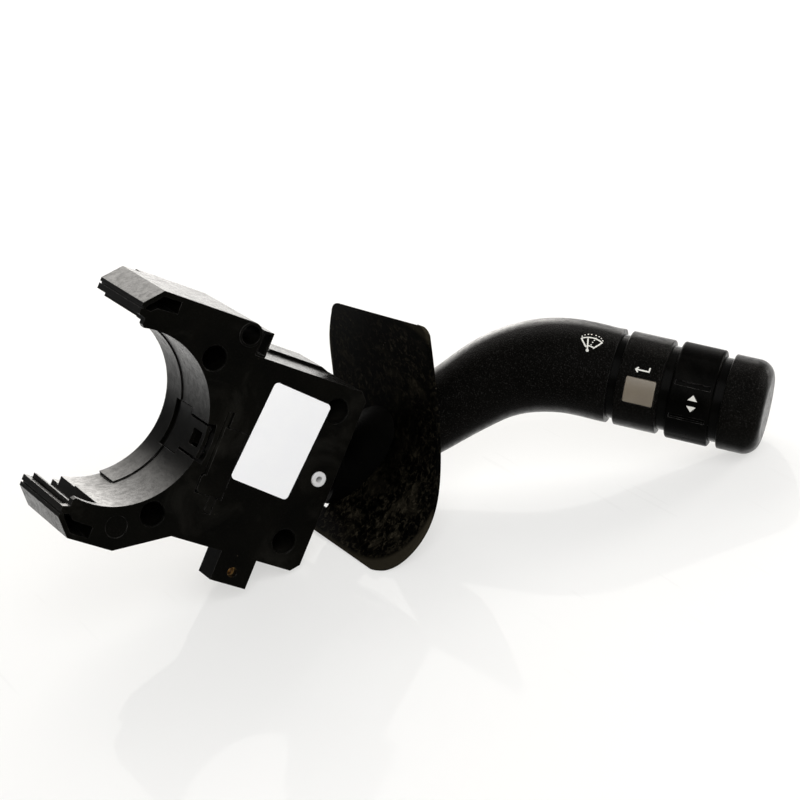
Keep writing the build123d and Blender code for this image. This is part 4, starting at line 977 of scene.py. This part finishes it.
@dataclass
class ReturnMark(Sign):
    """A plain bent arrow over the push button."""

    half_width: float = 2.6 * MM
    rise: float = 1.5 * MM
    head: float = 0.9 * MM

    def build(self, paint: Paintbox) -> bpy.types.Object:
        """Draws the sign and returns its piece."""
        mesh = bmesh.new()
        left = Vector((-self.half_width, -self.rise / 2, 0.0))
        right = Vector((self.half_width, -self.rise / 2, 0.0))
        top = Vector((self.half_width, self.rise / 2, 0.0))
        self.bar(mesh, left, right)
        self.bar(mesh, right, top)
        for side in (-1, 1):
            self.bar(mesh, left, left + Vector((self.head, side * self.head, 0.0)))
        return self.finish(mesh, paint)


def build_signs(paint: Paintbox) -> None:
    """Prints the three signs on the stalk."""
    grip = StalkSurface(GRIP_R)
    ring = StalkSurface(SELECTOR_R)
    WiperSign("wiper_sign", "lever", *WIPER_SIGN_PLACE, grip).build(paint)
    ReturnMark("return_mark", "lever", *RETURN_MARK_PLACE, grip).build(paint)
    StepArrows("step_arrows", "selector_ring", *STEP_ARROWS_PLACE, ring).build(paint)


# ---------------------------------------------------------------- the studio


@dataclass(frozen=True)
class SoftBox:
    """A square soft box that faces the part."""

    name: str
    towards: tuple[float, float, float]
    distance: float
    size: float
    power: float
    tint: tuple[float, float, float] = PLAIN_WHITE

    def hang(self, middle: Vector) -> None:
        """Hangs the lamp, at its distance from the part's middle."""
        data = bpy.data.lights.new(self.name, "AREA")
        data.shape = "SQUARE"
        data.size = self.size
        data.energy = self.power
        data.color = self.tint
        lamp = bpy.data.objects.new(self.name, data)
        towards = Vector(self.towards)
        place = Matrix.Translation(middle + towards.normalized() * self.distance)
        lamp.matrix_world = place @ towards.to_track_quat("Z", "Y").to_matrix().to_4x4()
        bpy.context.scene.collection.objects.link(lamp)


SOFT_BOXES = (
    SoftBox("front_box", (-0.45, -0.80, 0.40), distance=1.3, size=1.3, power=20.0),
    SoftBox("back_box", (-0.04, 0.825, 0.563), distance=1.5, size=1.3, power=27.0, tint=WARM_WHITE),
    SoftBox("end_box", (0.62, -0.10, 0.78), distance=1.0, size=0.3, power=6.5, tint=WARM_WHITE),
)


@dataclass
class Studio:
    """Glossy white table that the part lies on, soft light and the camera."""

    paint: Paintbox
    lens: float = 118.18
    near_clip: float = 0.01
    table_height: float = -89.95 * MM
    table_front: float = 0.34
    table_back: float = 4.0
    table_half_width: float = 3.0
    dark_side: float = 0.08
    left_level: float = 0.3
    wall_level: float = 0.6
    ceiling_level: float = 0.4
    mirrored_level: float = 0.7

    def forward(self) -> Vector:
        """Returns the camera's direction, square to its right."""
        return (CAMERA_FORWARD - CAMERA_RIGHT * CAMERA_FORWARD.dot(CAMERA_RIGHT)).normalized()

    def depth(self) -> Vector:
        """Returns the camera's direction laid flat on the table."""
        forward = self.forward()
        return (forward - TABLE_NORMAL * forward.dot(TABLE_NORMAL)).normalized()

    def camera(self) -> None:
        """Makes the camera."""
        forward = self.forward()
        up = CAMERA_RIGHT.cross(forward)
        data = bpy.data.cameras.new("camera")
        data.lens = self.lens
        data.clip_start = self.near_clip
        camera = bpy.data.objects.new("camera", data)
        turn = Matrix((CAMERA_RIGHT, up, -forward)).transposed().to_4x4()
        camera.matrix_world = Matrix.Translation(CAMERA_PLACE) @ turn
        bpy.context.scene.collection.objects.link(camera)
        bpy.context.scene.camera = camera

    def table(self) -> None:
        """Makes the table top, whose front edge lies just outside the picture."""
        depth = self.depth()
        across = depth.cross(TABLE_NORMAL)
        middle = TABLE_NORMAL * self.table_height
        front, back, half = -self.table_front, self.table_back, self.table_half_width
        mesh = bmesh.new()
        corners = []
        for side, along in ((-half, front), (half, front), (half, back), (-half, back)):
            corners.append(mesh.verts.new(middle + across * side + depth * along))
        face = mesh.faces.new(corners)
        face.normal_update()
        if face.normal.dot(TABLE_NORMAL) < 0:
            face.normal_flip()
        data = bpy.data.meshes.new("table_top")
        mesh.to_mesh(data)
        mesh.free()
        table = bpy.data.objects.new("table_top", data)
        bpy.context.scene.collection.objects.link(table)
        self.paint.dress(table, FinishName.LACQUER)
        table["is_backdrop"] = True

    def surroundings(self) -> None:
        """Makes the white studio, dark on the camera's side."""
        world = bpy.data.worlds.new("studio")
        bpy.context.scene.world = world
        world.use_nodes = True
        sheet = NodeSheet(world.node_tree)
        shade = world.node_tree.nodes["Background"]
        way = sheet.add("ShaderNodeTexCoord").outputs["Generated"]
        height = sheet.dot(way, tuple(TABLE_NORMAL))
        behind = sheet.dot(way, tuple(self.depth()))
        aside = sheet.dot(way, tuple(CAMERA_RIGHT))
        wall = sheet.ramp(height, 0.50, 0.80, self.wall_level, self.ceiling_level)
        far_side = sheet.ramp(behind, -0.35, 0.25)
        left = sheet.ramp(aside, -0.85, -0.35, self.left_level, 1.0)
        lit_share = sheet.times(far_side, left)
        level = sheet.math("MAXIMUM", sheet.times(wall, lit_share), self.dark_side)
        rays = sheet.add("ShaderNodeLightPath").outputs
        seen = sheet.math("MAXIMUM", rays["Is Camera Ray"], rays["Is Transmission Ray"])
        mirrored = sheet.times(rays["Is Glossy Ray"], lit_share, self.mirrored_level)
        seen = sheet.math("MAXIMUM", seen, mirrored)
        sheet.join(shade.inputs["Strength"], sheet.math("MAXIMUM", level, seen))
        shade.inputs["Color"].default_value = grey(1.0)

    def build(self) -> None:
        """Sets up the table, the light and the camera."""
        self.camera()
        self.table()
        self.surroundings()
        low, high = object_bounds()
        for soft_box in SOFT_BOXES:
            soft_box.hang((Vector(low) + Vector(high)) / 2)
        bpy.context.scene.view_settings.view_transform = "Standard"
        log.info("studio: table, %d soft boxes and the camera", len(SOFT_BOXES))


def main() -> None:
    """Dresses the CAD nodes, prints the signs and sets up the studio."""
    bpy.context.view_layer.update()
    paint = Paintbox()
    for sub_assembly in (HOUSING, SWITCHGEAR, STALK):
        sub_assembly.dress(paint)
    build_signs(paint)
    Studio(paint).build()


if __name__ == "__main__":
    main()
